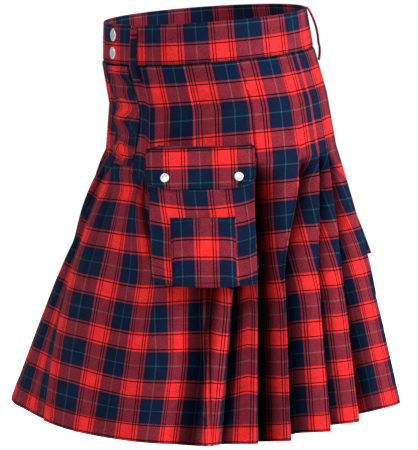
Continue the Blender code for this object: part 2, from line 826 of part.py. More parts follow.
def line_surface(direction, height):
    """Radius of the left front panel at a place."""
    lines = front_lines(LEFT_FRONT, PLEATS[0])
    if direction >= PANEL_EDGE_DIRECTION:
        return bridge_radius(direction, height, lines)
    return panel_polar(lines[0], height)[1]


def build_part():
    """Make every piece of the kilt."""
    left_front = front_lines(LEFT_FRONT, PLEATS[0])
    left_side = pleat_run(PLEATS[0], PLEATS[1:4])
    left_back = pleat_run(PLEATS[3], PLEATS[4:])
    last_fold = hidden_fold(PLEATS[-1])
    left_back.extend(face_lines(last_fold, CENTRE_BACK)[1:])
    left_back[-1]["lift"] = 0.0
    right_front = front_lines(RIGHT_FRONT, RIGHT_FIRST_PLEAT)
    right_side = [mirror_line(line) for line in pleat_run(RIGHT_FIRST_PLEAT, PLEATS[1:4])]
    right_back = [mirror_line(line) for line in left_back]

    band_outer = build_waistband()
    build_panel("front_panel_left", left_front, PLAID_RED)
    build_panel("front_panel_right", right_front[::-1], PLAID_RED)
    build_panel("left_side_panel", left_side, PLAID_RED)
    build_panel("left_back_panel", left_back, PLAID_RED, centre_end=-1)
    build_panel("right_back_panel", right_back[::-1], PLAID_RED, centre_end=0)
    build_panel("right_side_panel", right_side[::-1], PLAID_RED)
    build_placket()
    for number, (direction, gap, foot_lift) in enumerate(BELT_LOOPS, start=1):
        build_belt_loop("belt_loop_" + str(number), direction, gap, foot_lift)
    over_left = left_front + left_side + left_back[:LINES_BEHIND_LEFT]
    over_back = left_side[-LINES_BEFORE_BACK:] + left_back
    over_right = [reflect_line(line) for line in right_front + right_side + right_back[:LINES_BEHIND_RIGHT]]
    build_pocket_set("left", over_left)
    build_pocket_set("right", over_right)
    build_back_pocket("left_back_pocket", 1.0, over_back)
    build_back_pocket("right_back_pocket", -1.0, over_back)
    for name, direction, row_place in WAIST_SNAPS:
        column = (direction - BAND_START) / (BAND_FINISH - BAND_START) * (BAND_COLUMNS - 1.0)
        build_snap("waist_snap_" + name, band_outer, row_place, column, WAIST_SNAP_RADIUS)


for existing in list(bpy.data.objects):
    bpy.data.objects.remove(existing, do_unlink=True)
build_part()
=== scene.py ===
import bpy
import math
import numpy as np
from functools import partial
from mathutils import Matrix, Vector


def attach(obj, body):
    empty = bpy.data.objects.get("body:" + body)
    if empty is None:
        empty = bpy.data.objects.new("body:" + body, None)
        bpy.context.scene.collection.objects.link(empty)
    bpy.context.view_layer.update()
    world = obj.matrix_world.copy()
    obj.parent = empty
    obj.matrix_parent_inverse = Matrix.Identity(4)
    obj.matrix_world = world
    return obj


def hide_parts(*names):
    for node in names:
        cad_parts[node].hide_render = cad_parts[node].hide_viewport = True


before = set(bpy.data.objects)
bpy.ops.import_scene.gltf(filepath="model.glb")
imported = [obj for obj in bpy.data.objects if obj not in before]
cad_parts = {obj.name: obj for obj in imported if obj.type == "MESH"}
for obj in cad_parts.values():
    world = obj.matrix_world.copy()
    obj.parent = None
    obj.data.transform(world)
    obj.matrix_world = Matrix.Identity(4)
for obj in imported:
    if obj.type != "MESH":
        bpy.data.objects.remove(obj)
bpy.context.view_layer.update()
print("Frame loaded")

# Lengths of the garment are millimetres, heights are measured from the waist centre, directions are degrees:
# 0 is the wearer's front, 90 the wearer's left, 180 the back. Camera and studio are in metres.
metre = 0.001

cameraView = {
    "azimuth": 55.0,
    "elevation": 9.3,
    "distance": 4.05,
    "target": (0.0047, 0.0067, -0.2885),
    "lens": 217.4,
    "sensorWidth": 36.0,
    "clipEnd": 200.0,
}

studio = {
    "floorHeight": -1.05,
    "floorSize": 60.0,
    "floorColour": (0.9, 0.9, 0.9, 1.0),
    "floorGlow": 0.9,
    "worldColour": (1.0, 0.99, 0.98, 1.0),
    "worldStrength": 0.12,
    # name, azimuth, elevation, distance, size, watts, colour
    "lamps": [
        ("keyLamp", 118.0, 25.0, 3.0, 0.7, 110.0, (1.0, 0.99, 0.98)),
        ("fillLamp", 0.0, 38.0, 3.4, 1.2, 52.0, (1.0, 1.0, 1.0)),
        ("frontLamp", 60.0, 12.0, 3.2, 0.8, 15.0, (1.0, 1.0, 1.0)),
        ("topLamp", 60.0, 68.0, 3.2, 1.4, 18.0, (1.0, 1.0, 1.0)),
        ("backLamp", -120.0, 30.0, 3.2, 2.0, 70.0, (1.0, 1.0, 1.0)),
    ],
}


def linkObject(name, data):
    # a new object in the scene
    made = bpy.data.objects.new(name, data)
    bpy.context.scene.collection.objects.link(made)
    return made


def aimObject(name, data, azimuth, elevation, distance):
    # an object at a distance from the target, in the direction given by two angles, that faces the target
    turn, rise = math.radians(azimuth), math.radians(elevation)
    away = Vector((math.sin(turn) * math.cos(rise), -math.cos(turn) * math.cos(rise), math.sin(rise)))
    aimed = linkObject(name, data)
    aimed.location = Vector(cameraView["target"]) + away * distance
    aimed.rotation_mode = "QUATERNION"
    aimed.rotation_quaternion = away.to_track_quat("Z", "Y")
    return aimed


def makeCamera():
    # the camera that took the photo
    data = bpy.data.cameras.new("photoCamera")
    data.lens = cameraView["lens"]
    data.sensor_width = cameraView["sensorWidth"]
    data.clip_end = cameraView["clipEnd"]
    angles = cameraView["azimuth"], cameraView["elevation"]
    bpy.context.scene.camera = aimObject("photoCamera", data, *angles, cameraView["distance"])


def makeLamps():
    # square soft lamps that all face the target
    for name, azimuth, elevation, distance, size, watts, colour in studio["lamps"]:
        data = bpy.data.lights.new(name, "AREA")
        data.energy, data.size, data.color = watts, size, colour
        aimObject(name, data, azimuth, elevation, distance)


def feedNode(tree, node, inputs):
    # gives a node's inputs plain values or links from other nodes' outputs
    for key, value in inputs.items():
        if isinstance(value, bpy.types.NodeSocket):
            tree.links.new(value, node.inputs[key])
        else:
            node.inputs[key].default_value = value
    return node


def addNode(tree, kind, inputs):
    # a new shader node with its inputs
    return feedNode(tree, tree.nodes.new("ShaderNode" + kind), inputs)


def mathNode(tree, operation, *values):
    # one sum on sockets or plain numbers
    node = tree.nodes.new("ShaderNodeMath")
    node.operation = operation
    return feedNode(tree, node, dict(enumerate(values))).outputs[0]


def scaleNode(tree, colour, factor):
    # a colour times a number
    node = tree.nodes.new("ShaderNodeVectorMath")
    node.operation = "SCALE"
    return feedNode(tree, node, {0: colour, "Scale": factor}).outputs[0]


def mixNode(tree, factor, first, second):
    # a share of the way from one colour to another
    node = tree.nodes.new("ShaderNodeMix")
    node.data_type = "RGBA"
    return feedNode(tree, node, {"Factor": factor, "A": first, "B": second}).outputs["Result"]


def newMaterial(name):
    # a material with its node tree and its main shader
    material = bpy.data.materials.new(name)
    material.use_nodes = True
    return material, material.node_tree, material.node_tree.nodes["Principled BSDF"]


def makeStage():
    # a flat floor that looks evenly pale, under an even pale world
    half = studio["floorSize"] / 2
    mesh = bpy.data.meshes.new("studioFloor")
    corners = [(-half, -half), (half, -half), (half, half), (-half, half)]
    mesh.from_pydata([(x, y, studio["floorHeight"]) for x, y in corners], [], [(0, 1, 2, 3)])
    floor = linkObject("studioFloor", mesh)
    material, tree, shader = newMaterial("floorPaper")
    seen = addNode(tree, "LightPath", {}).outputs["Is Camera Ray"]
    feedNode(tree, shader, {
        "Base Color": studio["floorColour"],
        "Roughness": 1.0,
        "Emission Color": (1.0, 1.0, 1.0, 1.0),
        "Emission Strength": mathNode(tree, "MULTIPLY", seen, studio["floorGlow"]),
    })
    mesh.materials.append(material)
    world = bpy.data.worlds.new("studioWorld")
    world.use_nodes = True
    background = world.node_tree.nodes["Background"]
    feedNode(world.node_tree, background, {"Color": studio["worldColour"], "Strength": studio["worldStrength"]})
    bpy.context.scene.world = world
    bpy.context.scene.view_settings.view_transform = "Standard"


makeCamera()
makeLamps()
makeStage()
print("Camera, lamps and floor are in place")

# The garment's form, the same numbers as its solids.
bodyShape = {
    "seam": -32.5,
    "hip": -175.0,
    "hem": -559.0,
    "heights": [-559.0, -175.0, -100.0, -32.0, -3.0, 26.0],
    "halfWidths": [190.0, 190.0, 179.0, 171.5, 170.0, 168.0],
    "halfDepths": [158.0, 158.0, 148.5, 145.0, 141.5, 138.0],
    "setBacks": [0.0, 30.0, 25.0, 6.5, 3.5, 1.0],
    "tiltBack": 0.065,
    "tiltLeft": 0.0575,
    "tiltTop": -32.0,
    "tiltEnd": -380.0,
    "swingReach": 32.0,
    "swingMiddle": -40.0,
    "swingWidth": 22.0,
    "releaseDirections": [0.0, 12.0, 40.0, 110.0, 140.0, 180.0],
    "releaseHeights": [-195.0, -190.0, -172.0, -172.0, -177.0, -186.0],
    "stepHeight": 2.4,
    "settles": 0.42,
    "edgePower": 0.87,
    "edgePowerFront": -0.05,
    "hiddenPower": 0.6,
    "underInset": 3.4,
    "dropRate": 0.165,
    "dropRadius": 274.0,
    "dropEnds": (82.0, 92.0),
    "dropPower": 1.5,
}


def easeShare(share):
    # smooth step from 0 to 1
    held = np.clip(share, 0.0, 1.0)
    return held * held * (3.0 - 2.0 * held)


def sectionCentre(height):
    # how far back the section's centre lies at a height
    return np.interp(height, bodyShape["heights"], bodyShape["setBacks"])


def bodyRadius(direction, height):
    # radius of an ellipse whose half axes are read from the form at that height
    angle = np.radians(direction)
    level = np.maximum(height, bodyShape["hip"])
    halfWidth, halfDepth = (
        np.interp(level, bodyShape["heights"], bodyShape[key]) for key in ("halfWidths", "halfDepths")
    )
    return 1.0 / np.hypot(np.sin(angle) / halfWidth, np.cos(angle) / halfDepth)


def placePoints(direction, radius, height):
    # polar place about the section's centre; the cut line rises to the back and left, less and less down to the hip
    angle = np.radians(direction)
    x = radius * np.sin(angle)
    y = sectionCentre(height) - radius * np.cos(angle)
    fade = np.clip((height - bodyShape["tiltEnd"]) / (bodyShape["tiltTop"] - bodyShape["tiltEnd"]), 0.0, 1.0)
    z = height + (bodyShape["tiltBack"] * y + bodyShape["tiltLeft"] * x) * fade
    return np.stack(np.broadcast_arrays(x, y, z), axis=-1)


def hemSwing(direction):
    # bell curve: the hem swings out on the wearer's right front
    return bodyShape["swingReach"] * np.exp(-((direction - bodyShape["swingMiddle"]) / bodyShape["swingWidth"]) ** 2)


def planPoints(direction, radius):
    # plan place at the hem
    angle = np.radians(direction)
    return np.stack(np.broadcast_arrays(radius * np.sin(angle), -radius * np.cos(angle)), axis=-1)


def loosePart(height, direction):
    # share of the way from the line where pleats are let go down to the hem
    line = np.interp(np.abs(direction), bodyShape["releaseDirections"], bodyShape["releaseHeights"])
    return np.clip((line - height) / (line - bodyShape["hem"]), 0.0, 1.0)


def hemDrop(lines, height):
    # a line that flares less hangs lower at the hem, because all have the same length of cloth
    starts, ends = bodyShape["dropEnds"]
    side = 1.0 - easeShare((np.abs(lines["hem"]) - starts) / (ends - starts))
    lacking = np.maximum(bodyShape["dropRadius"] - lines["radius"], 0.0)
    return bodyShape["dropRate"] * lacking * side * loosePart(height, lines["hip"]) ** bodyShape["dropPower"]


def hermite(start, finish, startPull, finishPull, t):
    # cubic that leaves along one pull and arrives along the other
    return (
        start * (2 * t**3 - 3 * t**2 + 1) + startPull * (t**3 - 2 * t**2 + t)
        + finish * (3 * t**2 - 2 * t**3) + finishPull * (t**3 - t**2)
    )


def smoothTable(knots, values, wanted):
    # cubic through all rows of a table, its slopes taken from the neighbouring rows
    knots, values = np.asarray(knots, float), np.asarray(values, float)
    slopes = np.gradient(values, knots, axis=0)
    index = np.clip(np.searchsorted(knots, wanted, side="right") - 1, 0, len(knots) - 2)
    width = knots[index + 1] - knots[index]
    t = ((wanted - knots[index]) / width).reshape((-1,) + (1,) * (values.ndim - 1))
    width = width.reshape(t.shape)
    return hermite(values[index], values[index + 1], slopes[index] * width, slopes[index + 1] * width, t)


def refineGrid(points, rows, columns):
    # the same surface through a coarse grid's points, with more rows and columns
    points = np.asarray(points, float)
    for axis, count in ((0, rows), (1, columns)):
        points = np.moveaxis(points, axis, 0)
        steps = np.linalg.norm(np.diff(points, axis=0), axis=-1).mean(axis=1)
        knots = np.concatenate([[0.0], np.cumsum(steps)])
        points = np.moveaxis(smoothTable(knots, points, np.linspace(0.0, knots[-1], count)), 0, axis)
    return points


pleatShape = {
    # fold edge at hip, half way and hem, hem radius, then the fold hidden behind it at hip and hem, its radius,
    # the check's place on the fold edge at the hem, where the stitched face starts in the check, and how wide
    # the painted shade is on its face beside the fold before it, standing in for shadow in the pleat's gap
    "columns": ("hip", "middle", "hem", "radius", "foldHip", "foldHem", "foldRadius", "edgeAt", "startAt", "paintedShadeWidth"),
    "rows": {
        "z": (15.5, 52.0, 55.7, 277.0, 18.5, 57.8, 256.0, 58.0, -17.5, 0.0),
        "a": (42.5, 62.5, 59.2, 257.0, 45.5, 61.0, 244.0, 17.5, -8.5, 0.0),
        "b": (68.0, 71.2, 71.0, 269.0, 71.0, 72.0, 230.0, 17.5, -13.0, 4.0),
        "c": (90.0, 81.0, 81.8, 272.0, 93.0, 80.8, 222.0, 17.5, -5.0, 14.0),
        "d": (102.0, 97.7, 99.3, 261.0, 105.0, 99.3, 225.0, 14.0, 0.0, 21.0),
        "e": (110.5, 112.4, 116.0, 260.0, 113.5, 116.0, 228.0, 17.5, 18.0, 17.0),
        "f": (131.0, 139.0, 144.5, 296.0, 134.0, 143.0, 245.0, 31.5, 50.0, 15.0),
        "g": (152.0, 155.5, 158.0, 285.0, 155.0, 157.0, 240.0, 17.5, 43.0, 13.0),
        "h": (166.0, 169.5, 172.0, 285.0, 169.0, 174.0, 243.0, 17.5, 21.0, 13.0),
        "centreBack": (180.0, 180.0, 180.0, 256.0, 0.0, 0.0, 0.0, 17.5, -2.0, 10.0),
        "zRight": (32.0, 54.5, 55.7, 277.0, 35.0, 57.8, 256.0, 58.0, -17.5, 0.0),
    },
    # front panels: hip, half way, hem, hem radius, share under the other panel, and the check's place on the line
    "leftFront": [
        (-20.0, -30.0, -10.0, 253.5, 0.0, -222.0),
        (-15.5, -20.0, -3.8, 253.3, 0.0, -195.5),
        (-9.3, -9.7, 1.6, 253.0, 0.0, -177.5),
        (-3.0, 0.7, 7.1, 252.7, 0.0, -159.5),
        (7.0, 13.1, 15.3, 251.1, 0.0, -124.5),
        (9.5, 22.5, 24.5, 251.2, 0.0, -88.5),
        (11.5, 31.3, 33.2, 255.6, 0.0, -53.5),
        (13.0, 41.5, 41.3, 256.8, 0.0, -17.5),
        (14.3, 49.0, 46.6, 254.7, 0.0, 17.5),
    ],
    "rightFront": [
        (2.0, -8.0, 4.0, 252.5, 1.0, -256.0),
        (-6.0, -17.0, -2.0, 252.5, 1.0, -230.0),
        (-13.0, -26.0, -8.0, 252.5, 1.0, -203.0),
        (-19.0, -35.0, -15.0, 251.5, 0.9, -171.0),
        (-22.5, -39.0, -23.0, 249.5, 0.45, -133.0),
        (-25.5, -43.0, -31.5, 254.0, 0.1, -103.0),
        (-28.0, -46.5, -40.0, 260.0, 0.0, -60.0),
        (-30.0, -50.0, -48.0, 267.5, 0.0, -6.0),
    ],
    "faceShares": ([0.0, 0.26, 0.54, 0.82, 1.0], [0.0, 0.3, 0.6, 0.85, 1.0]),
    "returnShares": ([0.0, 0.22, 0.58, 1.0], [0.0, 0.34, 0.67, 1.0]),
    "faceLeaves": (0.45, 0.5),
    "faceArrives": (0.3, 0.5),
    "returnPulls": (0.75, 1.0),
    "facePower": 1.4,
    "returnPower": 1.35,
    "frontPower": 1.15,
    "faceColumns": 26,
    "returnColumns": 15,
    "frontColumns": 64,
    "skirtRows": 150,
    "edgeDrop": 0.45,
}
pleats = {name: dict(zip(pleatShape["columns"], row)) for name, row in pleatShape["rows"].items()}

checkLayout = {
    "repeat": 71.0,
    # what the check has reached at a stitched face's edge, and how much it is drawn in there
    "stitchedEdge": 58.0,
    "stitchedScale": 0.92,
    "looseSettles": 0.56,
    # loose shares over which the check goes over from the stitched to the hanging cloth
    "returnBlend": 0.05,
    "frontBlend": 0.09,
    "faceBlend": 0.14,
    "frontStretch": ([0.0, 0.3], [1.0, 1.3]),
    # hem directions of the folds in the left and right front panel, and how far the check jumps there
    "foldAt": (33.3, 40.3),
    "foldJump": 142.0,
    # distances down the cloth at which the red bands have their middles, and how far they drift round the hem
    "length": 556.0,
    "bandMiddles": [43.9, 121.0, 195.5, 270.0, 343.0, 410.0, 477.5, 541.5],
    "driftDirections": [-45.0, -30.0, -20.0, -10.0, 5.0, 28.0, 57.0, 68.0, 81.0, 98.0, 112.0, 137.0, 180.0],
    "drift": [6.0, 3.0, 0.0, -3.0, -3.0, 4.0, 5.0, -8.0, 0.0, -4.0, -3.0, -6.0, 0.0],
    "driftStarts": (230.0, 330.0),
    "driftEnds": (480.0, 540.0),
}

# Painted shade in the hollows, standing in for shadow: depths at which it has set in, by loose share,
# and the painted shade beside each fold.
paintedCavityLook = {
    "shares": [0.0, 0.06, 0.1, 0.2, 0.5, 1.0],
    "depths": [5.0, 6.0, 7.5, 11.0, 18.0, 21.0],
    "power": 3.0,
    "floor": 0.02,
    "slack": 1.0,
    "starts": 0.04,
    "besideFold": 0.9,
    "besideGrowth": 1.2,
    "besideStarts": 0.03,
}

# Troughs of the front panels: hem direction high up and at the hem, loose shares where it starts, is full,
# begins to end and has ended, half width, depth and the darkening of its painted shade.
frontTroughs = {
    "highLow": [0.3, 1.0],
    "left": [
        (33.6, 33.6, 0.01, 0.08, 0.26, 0.44, 9.0, 7.0, 0.8),
        (53.0, 49.6, 0.24, 0.42, 2.0, 3.0, 17.0, 10.0, 0.8),
        (1.0, 9.0, 0.03, 0.12, 0.3, 0.7, 12.0, 3.5, 0.3),
        (18.0, 19.5, 0.3, 0.6, 2.0, 3.0, 16.0, 2.5, 0.1),
    ],
    "right": [
        (40.6, 40.6, 0.01, 0.08, 0.26, 0.44, 9.0, 7.0, 0.8),
        (53.0, 50.0, 0.28, 0.5, 2.0, 3.0, 16.0, 9.0, 0.7),
        (26.0, 24.0, 0.05, 0.2, 0.4, 0.9, 13.0, 3.5, 0.3),
    ],
}


def troughField(lines, height, arc, troughs):
    # inward moves and painted shade, a bell across each trough's line times how far it has opened
    hem, loose = lines["hem"], loosePart(height, lines["hip"])
    offset = abs(hem[0]) * (1.0 if hem[0] * hem[-1] < 0 else -1.0)
    moved, dark = np.zeros_like(arc), np.ones_like(arc)
    for high, low, starts, full, ends, ended, half, depth, darker in troughs:
        wanted = np.interp(loose.mean(axis=1), frontTroughs["highLow"], [high, low]) + offset
        middle = np.array([np.interp(place, np.abs(hem - hem[0]), row) for place, row in zip(wanted, arc)])[:, None]
        opened = easeShare((loose - starts) / (full - starts)) * (1.0 - easeShare((loose - ends) / (ended - ends)))
        bell = np.exp(-((arc - middle) / half) ** 2) * opened
        moved -= depth * bell
        dark *= 1.0 - darker * bell
    return moved, dark


def packLines(hip, middle, hemPoint, lift, hidden, under, kind, edgeAt, startAt, paintedShadeWidth=0.0):
    # lines of the cloth from waist to hem, one number of each kind per line, among them how wide the painted shade is
    # beside a fold
    hem = np.degrees(np.arctan2(hemPoint[:, 0], -hemPoint[:, 1]))
    columns = {
        "hip": hip, "middle": middle, "hem": hem,
        "radius": np.hypot(hemPoint[:, 0], hemPoint[:, 1]) + hemSwing(hem),
        "lift": lift, "hidden": hidden, "under": under, "kind": kind,
        "edgeAt": edgeAt, "startAt": startAt, "paintedShadeWidth": paintedShadeWidth,
    }
    return {name: np.broadcast_to(np.asarray(column, float), hem.shape).copy() for name, column in columns.items()}


def joinLines(parts):
    # lines of several runs side by side
    return {name: np.concatenate([part[name] for part in parts]) for name in parts[0]}


def mirrorLines(lines):
    # the same lines on the other side, where the hem swings out
    turned = dict(lines, **{name: -lines[name] for name in ("hip", "middle", "hem")})
    turned["radius"] = lines["radius"] + hemSwing(turned["hem"])
    return turned


def hiddenFold(name):
    # hip, half way, hem direction and hem radius of the fold behind a pleat
    row = pleats[name]
    return row["foldHip"], row["middle"] + (row["foldHem"] - row["hem"]), row["foldHem"], row["foldRadius"]


def faceLines(fold, name, kind):
    # a pleat's face: at the hem a cubic from the hidden fold to the edge, turned towards the way round the hem
    edge = pleats[name]
    loose = 1.0 - (1.0 - np.linspace(0.0, 1.0, pleatShape["faceColumns"])) ** pleatShape["facePower"]
    stitched = np.interp(loose, *pleatShape["faceShares"])
    start, finish = planPoints(fold[2], fold[3]), planPoints(edge["hem"], edge["radius"])
    length = np.linalg.norm(finish - start)
    leave, arrive = (
        (finish - start) * pleatShape[key][0] + planPoints(turn + 90.0, 1.0) * length * pleatShape[key][1]
        for key, turn in (("faceLeaves", fold[2]), ("faceArrives", edge["hem"]))
    )
    point = hermite(start, finish, leave, arrive, loose[:, None])
    hip = fold[0] + (edge["hip"] - fold[0]) * stitched
    middle = fold[1] + (edge["middle"] - fold[1]) * loose
    lift = bodyShape["stepHeight"] * stitched
    return packLines(hip, middle, point, lift, 1.0 - easeShare(loose), 0.0, kind,
                     edge["edgeAt"], edge["startAt"], edge["paintedShadeWidth"])


def returnLines(name, kind):
    # the cloth behind a fold edge: a cubic that turns in to the hidden fold
    row = pleats[name]
    loose = np.linspace(0.0, 1.0, pleatShape["returnColumns"]) ** pleatShape["returnPower"]
    stitched = np.interp(loose, *pleatShape["returnShares"])
    start, finish = planPoints(row["hem"], row["radius"]), planPoints(row["foldHem"], row["foldRadius"])
    pulls = pleatShape["returnPulls"]
    along = planPoints(row["hem"] + 90.0, 1.0) * np.linalg.norm(finish - start) * pulls[0]
    point = hermite(start, finish, along, (finish - start) * pulls[1], loose[:, None])
    hip = row["hip"] + (row["foldHip"] - row["hip"]) * stitched
    middle = row["middle"] + (row["foldHem"] - row["hem"]) * loose
    lift = bodyShape["stepHeight"] * (1.0 - easeShare(stitched / pleatShape["edgeDrop"]))
    return packLines(hip, middle, point, lift, easeShare(loose), 0.0, kind, row["edgeAt"], row["startAt"])


def pleatRun(names):
    # faces and returns of the pleats that follow the first; kind counts up, odd for a return
    parts = []
    for number, (before, name) in enumerate(zip(names, names[1:])):
        parts += [faceLines(hiddenFold(before), name, 2 * number), returnLines(name, 2 * number + 1)]
    return parts


def frontRun(rows, name):
    # a front panel: a smooth curve through its rows to its first fold edge, then that pleat's return
    edge = pleats[name]
    sign = -1.0 if rows[0][0] > rows[-1][0] else 1.0
    last = (sign * edge["hip"], sign * edge["middle"], sign * edge["hem"], edge["radius"], 0.0, edge["edgeAt"])
    table = np.array([*rows, last])
    knots = np.abs(table[:, 2] - table[0, 2])
    share = np.linspace(0.0, 1.0, pleatShape["frontColumns"])
    wanted = knots[-1] * (1.0 - (1.0 - share) ** pleatShape["frontPower"])
    hip, middle, hem, radius, under, edgeAt = smoothTable(knots, table, wanted).T
    rise = np.interp(wanted, knots[[0, -2, -1]], [0.0, 0.0, bodyShape["stepHeight"]])
    panel = packLines(hip, middle, planPoints(hem, radius), rise, 0.0, under, 0, edgeAt, edge["startAt"])
    turned = returnLines(name, 1)
    return [panel, turned if sign > 0 else mirrorLines(turned)]


def linesPolar(lines, height):
    # stitched part follows the body; below, direction and radius go over to the hem's by powers of the loose share
    share = loosePart(height, lines["hip"])
    stitched = bodyRadius(lines["hip"], height) + lines["lift"]
    settled = easeShare(share / bodyShape["settles"])
    late = np.clip((share - bodyShape["settles"]) / (1.0 - bodyShape["settles"]), 0.0, 1.0)
    direction = lines["hip"] + (lines["middle"] - lines["hip"]) * settled + (lines["hem"] - lines["middle"]) * late
    power = bodyShape["edgePower"] + bodyShape["edgePowerFront"] * np.cos(np.radians(lines["hem"]))
    power = power + bodyShape["hiddenPower"] * lines["hidden"]
    radius = stitched + (lines["radius"] - stitched) * share**power
    return direction, radius - bodyShape["underInset"] * lines["under"]


def surfaceNormals(points):
    # cross product of the down and across differences, turned outwards
    normal = np.cross(np.gradient(points, axis=0), np.gradient(points, axis=1))
    return normal / np.maximum(np.linalg.norm(normal, axis=-1, keepdims=True), 1e-9)


def moveOut(points, distance):
    # points moved along their outward normals
    return points + surfaceNormals(points) * distance[..., None]


def stepLengths(points, axis):
    # distances between neighbours across (axis 1) or down (axis 0)
    return np.linalg.norm(np.diff(points, axis=axis), axis=-1)


def arcAlong(points, axis):
    # running distance across or down
    steps = stepLengths(points, axis)
    return np.concatenate([np.zeros_like(steps.take([0], axis)), np.cumsum(steps, axis=axis)], axis=axis)


# How much creases differ: spread of their turn, shares of their width, length and height, and their bend.
creaseChances = {
    "turn": 0.28,
    "widths": (0.5, 1.6),
    "lengths": (0.5, 1.5),
    "heights": (0.35, 1.0),
    "bend": 0.0012,
    "bendSpread": 0.6,
}


def softCreases(across, down, seed, bounds, creases):
    # sum of soft troughs and ridges, each a bell across and along a slightly turned line; no two alike
    count, lean, size, length, height = creases
    chance = np.random.default_rng(seed)
    total = np.zeros(np.broadcast(across, down).shape)
    for step in range(count):
        middleAcross = chance.uniform(bounds[0], bounds[1])
        middleDown = chance.uniform(bounds[2], bounds[3])
        turn = chance.normal(0.0, creaseChances["turn"]) + lean
        wide = size * chance.uniform(*creaseChances["widths"])
        long = length * chance.uniform(*creaseChances["lengths"])
        rise = height * chance.uniform(*creaseChances["heights"]) * (1.0 if chance.uniform() > 0.5 else -1.0)
        offAcross, offDown = across - middleAcross, down - middleDown
        along = offDown * math.cos(turn) + offAcross * math.sin(turn)
        aside = offAcross * math.cos(turn) - offDown * math.sin(turn)
        bend = aside - creaseChances["bend"] * along**2 * chance.normal(0.0, creaseChances["bendSpread"])
        total += rise * np.exp(-((bend / wide) ** 2) - (along / long) ** 2)
    return total


def nearestStitches(across, down, sides, rows):
    # signed distance to the nearest of several straight stitch rows, and the place along it
    shape = np.broadcast(across, down).shape
    lines = [(across - place, down) for place in sides] + [(down - place, across) for place in rows]
    asides, alongs = (np.stack([np.broadcast_to(line[part], shape) for line in lines]) for part in (0, 1))
    nearest = np.abs(asides).argmin(axis=0)[None]
    return np.take_along_axis(asides, nearest, 0)[0], np.take_along_axis(alongs, nearest, 0)[0]


def cornersOf(grid):
    # the four corner values of each quad of a grid
    return np.stack([grid[:-1, :-1], grid[1:, :-1], grid[1:, 1:], grid[:-1, 1:]], axis=-1)


def clothPiece(name, points, wall, across, down, stitch, shade=1.0):
    # a grid of quads with thickness inwards from its outer face; the plaid map may be given at both ends of
    # each column of quads, where it jumps from one to the next
    shape = rows, columns = points.shape[:2]
    quads = cornersOf(np.arange(rows * columns).reshape(shape)).reshape(-1, 4)
    mesh = bpy.data.meshes.new(name)
    mesh.vertices.add(rows * columns)
    mesh.vertices.foreach_set("co", (points * metre).astype(np.float32).ravel())
    mesh.loops.add(quads.size)
    mesh.loops.foreach_set("vertex_index", quads.astype(np.int32).ravel())
    mesh.polygons.add(len(quads))
    mesh.polygons.foreach_set("loop_start", np.arange(0, quads.size, 4, dtype=np.int32))
    mesh.polygons.foreach_set("use_smooth", np.ones(len(quads), dtype=bool))
    mesh.update(calc_edges=True)
    ends = across if isinstance(across, tuple) else (across[:, :-1], across[:, 1:])
    start, end = (np.broadcast_to(value, (rows, columns - 1)) for value in ends)
    places = np.stack([start[:-1], start[1:], end[1:], end[:-1]], axis=-1), cornersOf(np.broadcast_to(down, shape))
    plaid = mesh.uv_layers.new(name="plaid")
    plaid.data.foreach_set("uv", (np.stack(places, axis=-1) * metre).astype(np.float32).ravel())
    # painted shade goes on the mesh as an attribute that the material multiplies into colour, specular and sheen
    layers = {"stitchAcross": (stitch[0], metre), "stitchAlong": (stitch[1], metre), "paintedShade": (shade, 1.0)}
    for key, (value, scale) in layers.items():
        layer = mesh.attributes.new(key, "FLOAT", "POINT")
        layer.data.foreach_set("value", (np.broadcast_to(value, shape) * scale).astype(np.float32).ravel())
    made = linkObject(name, mesh)
    solid = made.modifiers.new("clothWall", "SOLIDIFY")
    solid.thickness = wall * metre
    solid.offset = -1.0
    return made


def finishSheet(piece, node, material):
    # gives a cloth piece its finish, hangs it on the root body and hides its solid
    piece.data.materials.append(material)
    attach(piece, "root")
    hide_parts(node)


def meshArea(piece):
    # sum of the faces' areas in square metres
    area = np.zeros(len(piece.data.polygons))
    piece.data.polygons.foreach_get("area", area)
    return float(area.sum())


# The cloth: a red and navy check woven in a soft brushed twill.
tartan = {
    "repeat": 71.0,
    "red": (0.80, 0.027, 0.022),
    "redWeft": (0.79, 0.028, 0.023),
    "navy": (0.0075, 0.0105, 0.027),
    "teal": (0.02, 0.11, 0.11),
    "black": (0.006, 0.005, 0.008),
    "blackAlpha": 0.42,
    # widths of the threads across one repeat, from the middle of one navy stripe to the next
    "warp": [("navy", 17.8), ("red", 3.0), ("black", 1.5), ("red", 2.5), ("black", 1.3), ("red", 17.4),
             ("black", 1.5), ("red", 2.5), ("black", 1.5), ("red", 3.2), ("navy", 17.8)],
    "weft": [("navy", 20.8), ("red", 2.6), ("black", 1.8), ("red", 20.6), ("black", 1.8), ("red", 2.6), ("navy", 20.8)],
    "tealWidth": 1.2,
    "softness": 0.35,
    "gamma": 1.0 / 2.2,
    "mixPowers": (2.58, 2.28, 2.1),
    "twillStep": 1.25,
    # how fast the weft's share grows along the twill, and its least
    "twillMix": (1.1, 0.225),
    # scale and detail of the fine nap and of the broad patches
    "noises": [(560.0, 3.0), (55.0, 2.0)],
    "patchShare": 0.35,
    "mottle": 6.0,
    "napHeight": 0.6,
    "nap": 0.34,
    "sheen": 0.012,
    "specular": 0.05,
    "roughness": 0.92,
    "sheenRoughness": 0.6,
    "bumpStrength": 0.55,
    "bumpDistance": 0.00022,
}

# Stitches: length of a step, half the thread's width, half the stitched share of a step, half the groove's width.
stitchLook = {
    "step": 3.4,
    "thread": 0.58,
    "filled": 0.36,
    "groove": 1.6,
    "height": 2.2,
}


def newGroup(name, inputs, outputs):
    # a node group with its number inputs and their defaults, and its outputs and their kinds
    group = bpy.data.node_groups.new(name, "ShaderNodeTree")
    for key, value in inputs.items():
        group.interface.new_socket(name=key, in_out="INPUT", socket_type="NodeSocketFloat").default_value = value
    for key, kind in outputs.items():
        group.interface.new_socket(name=key, in_out="OUTPUT", socket_type="NodeSocket" + kind)
    return group, group.nodes.new("NodeGroupInput").outputs, group.nodes.new("NodeGroupOutput")


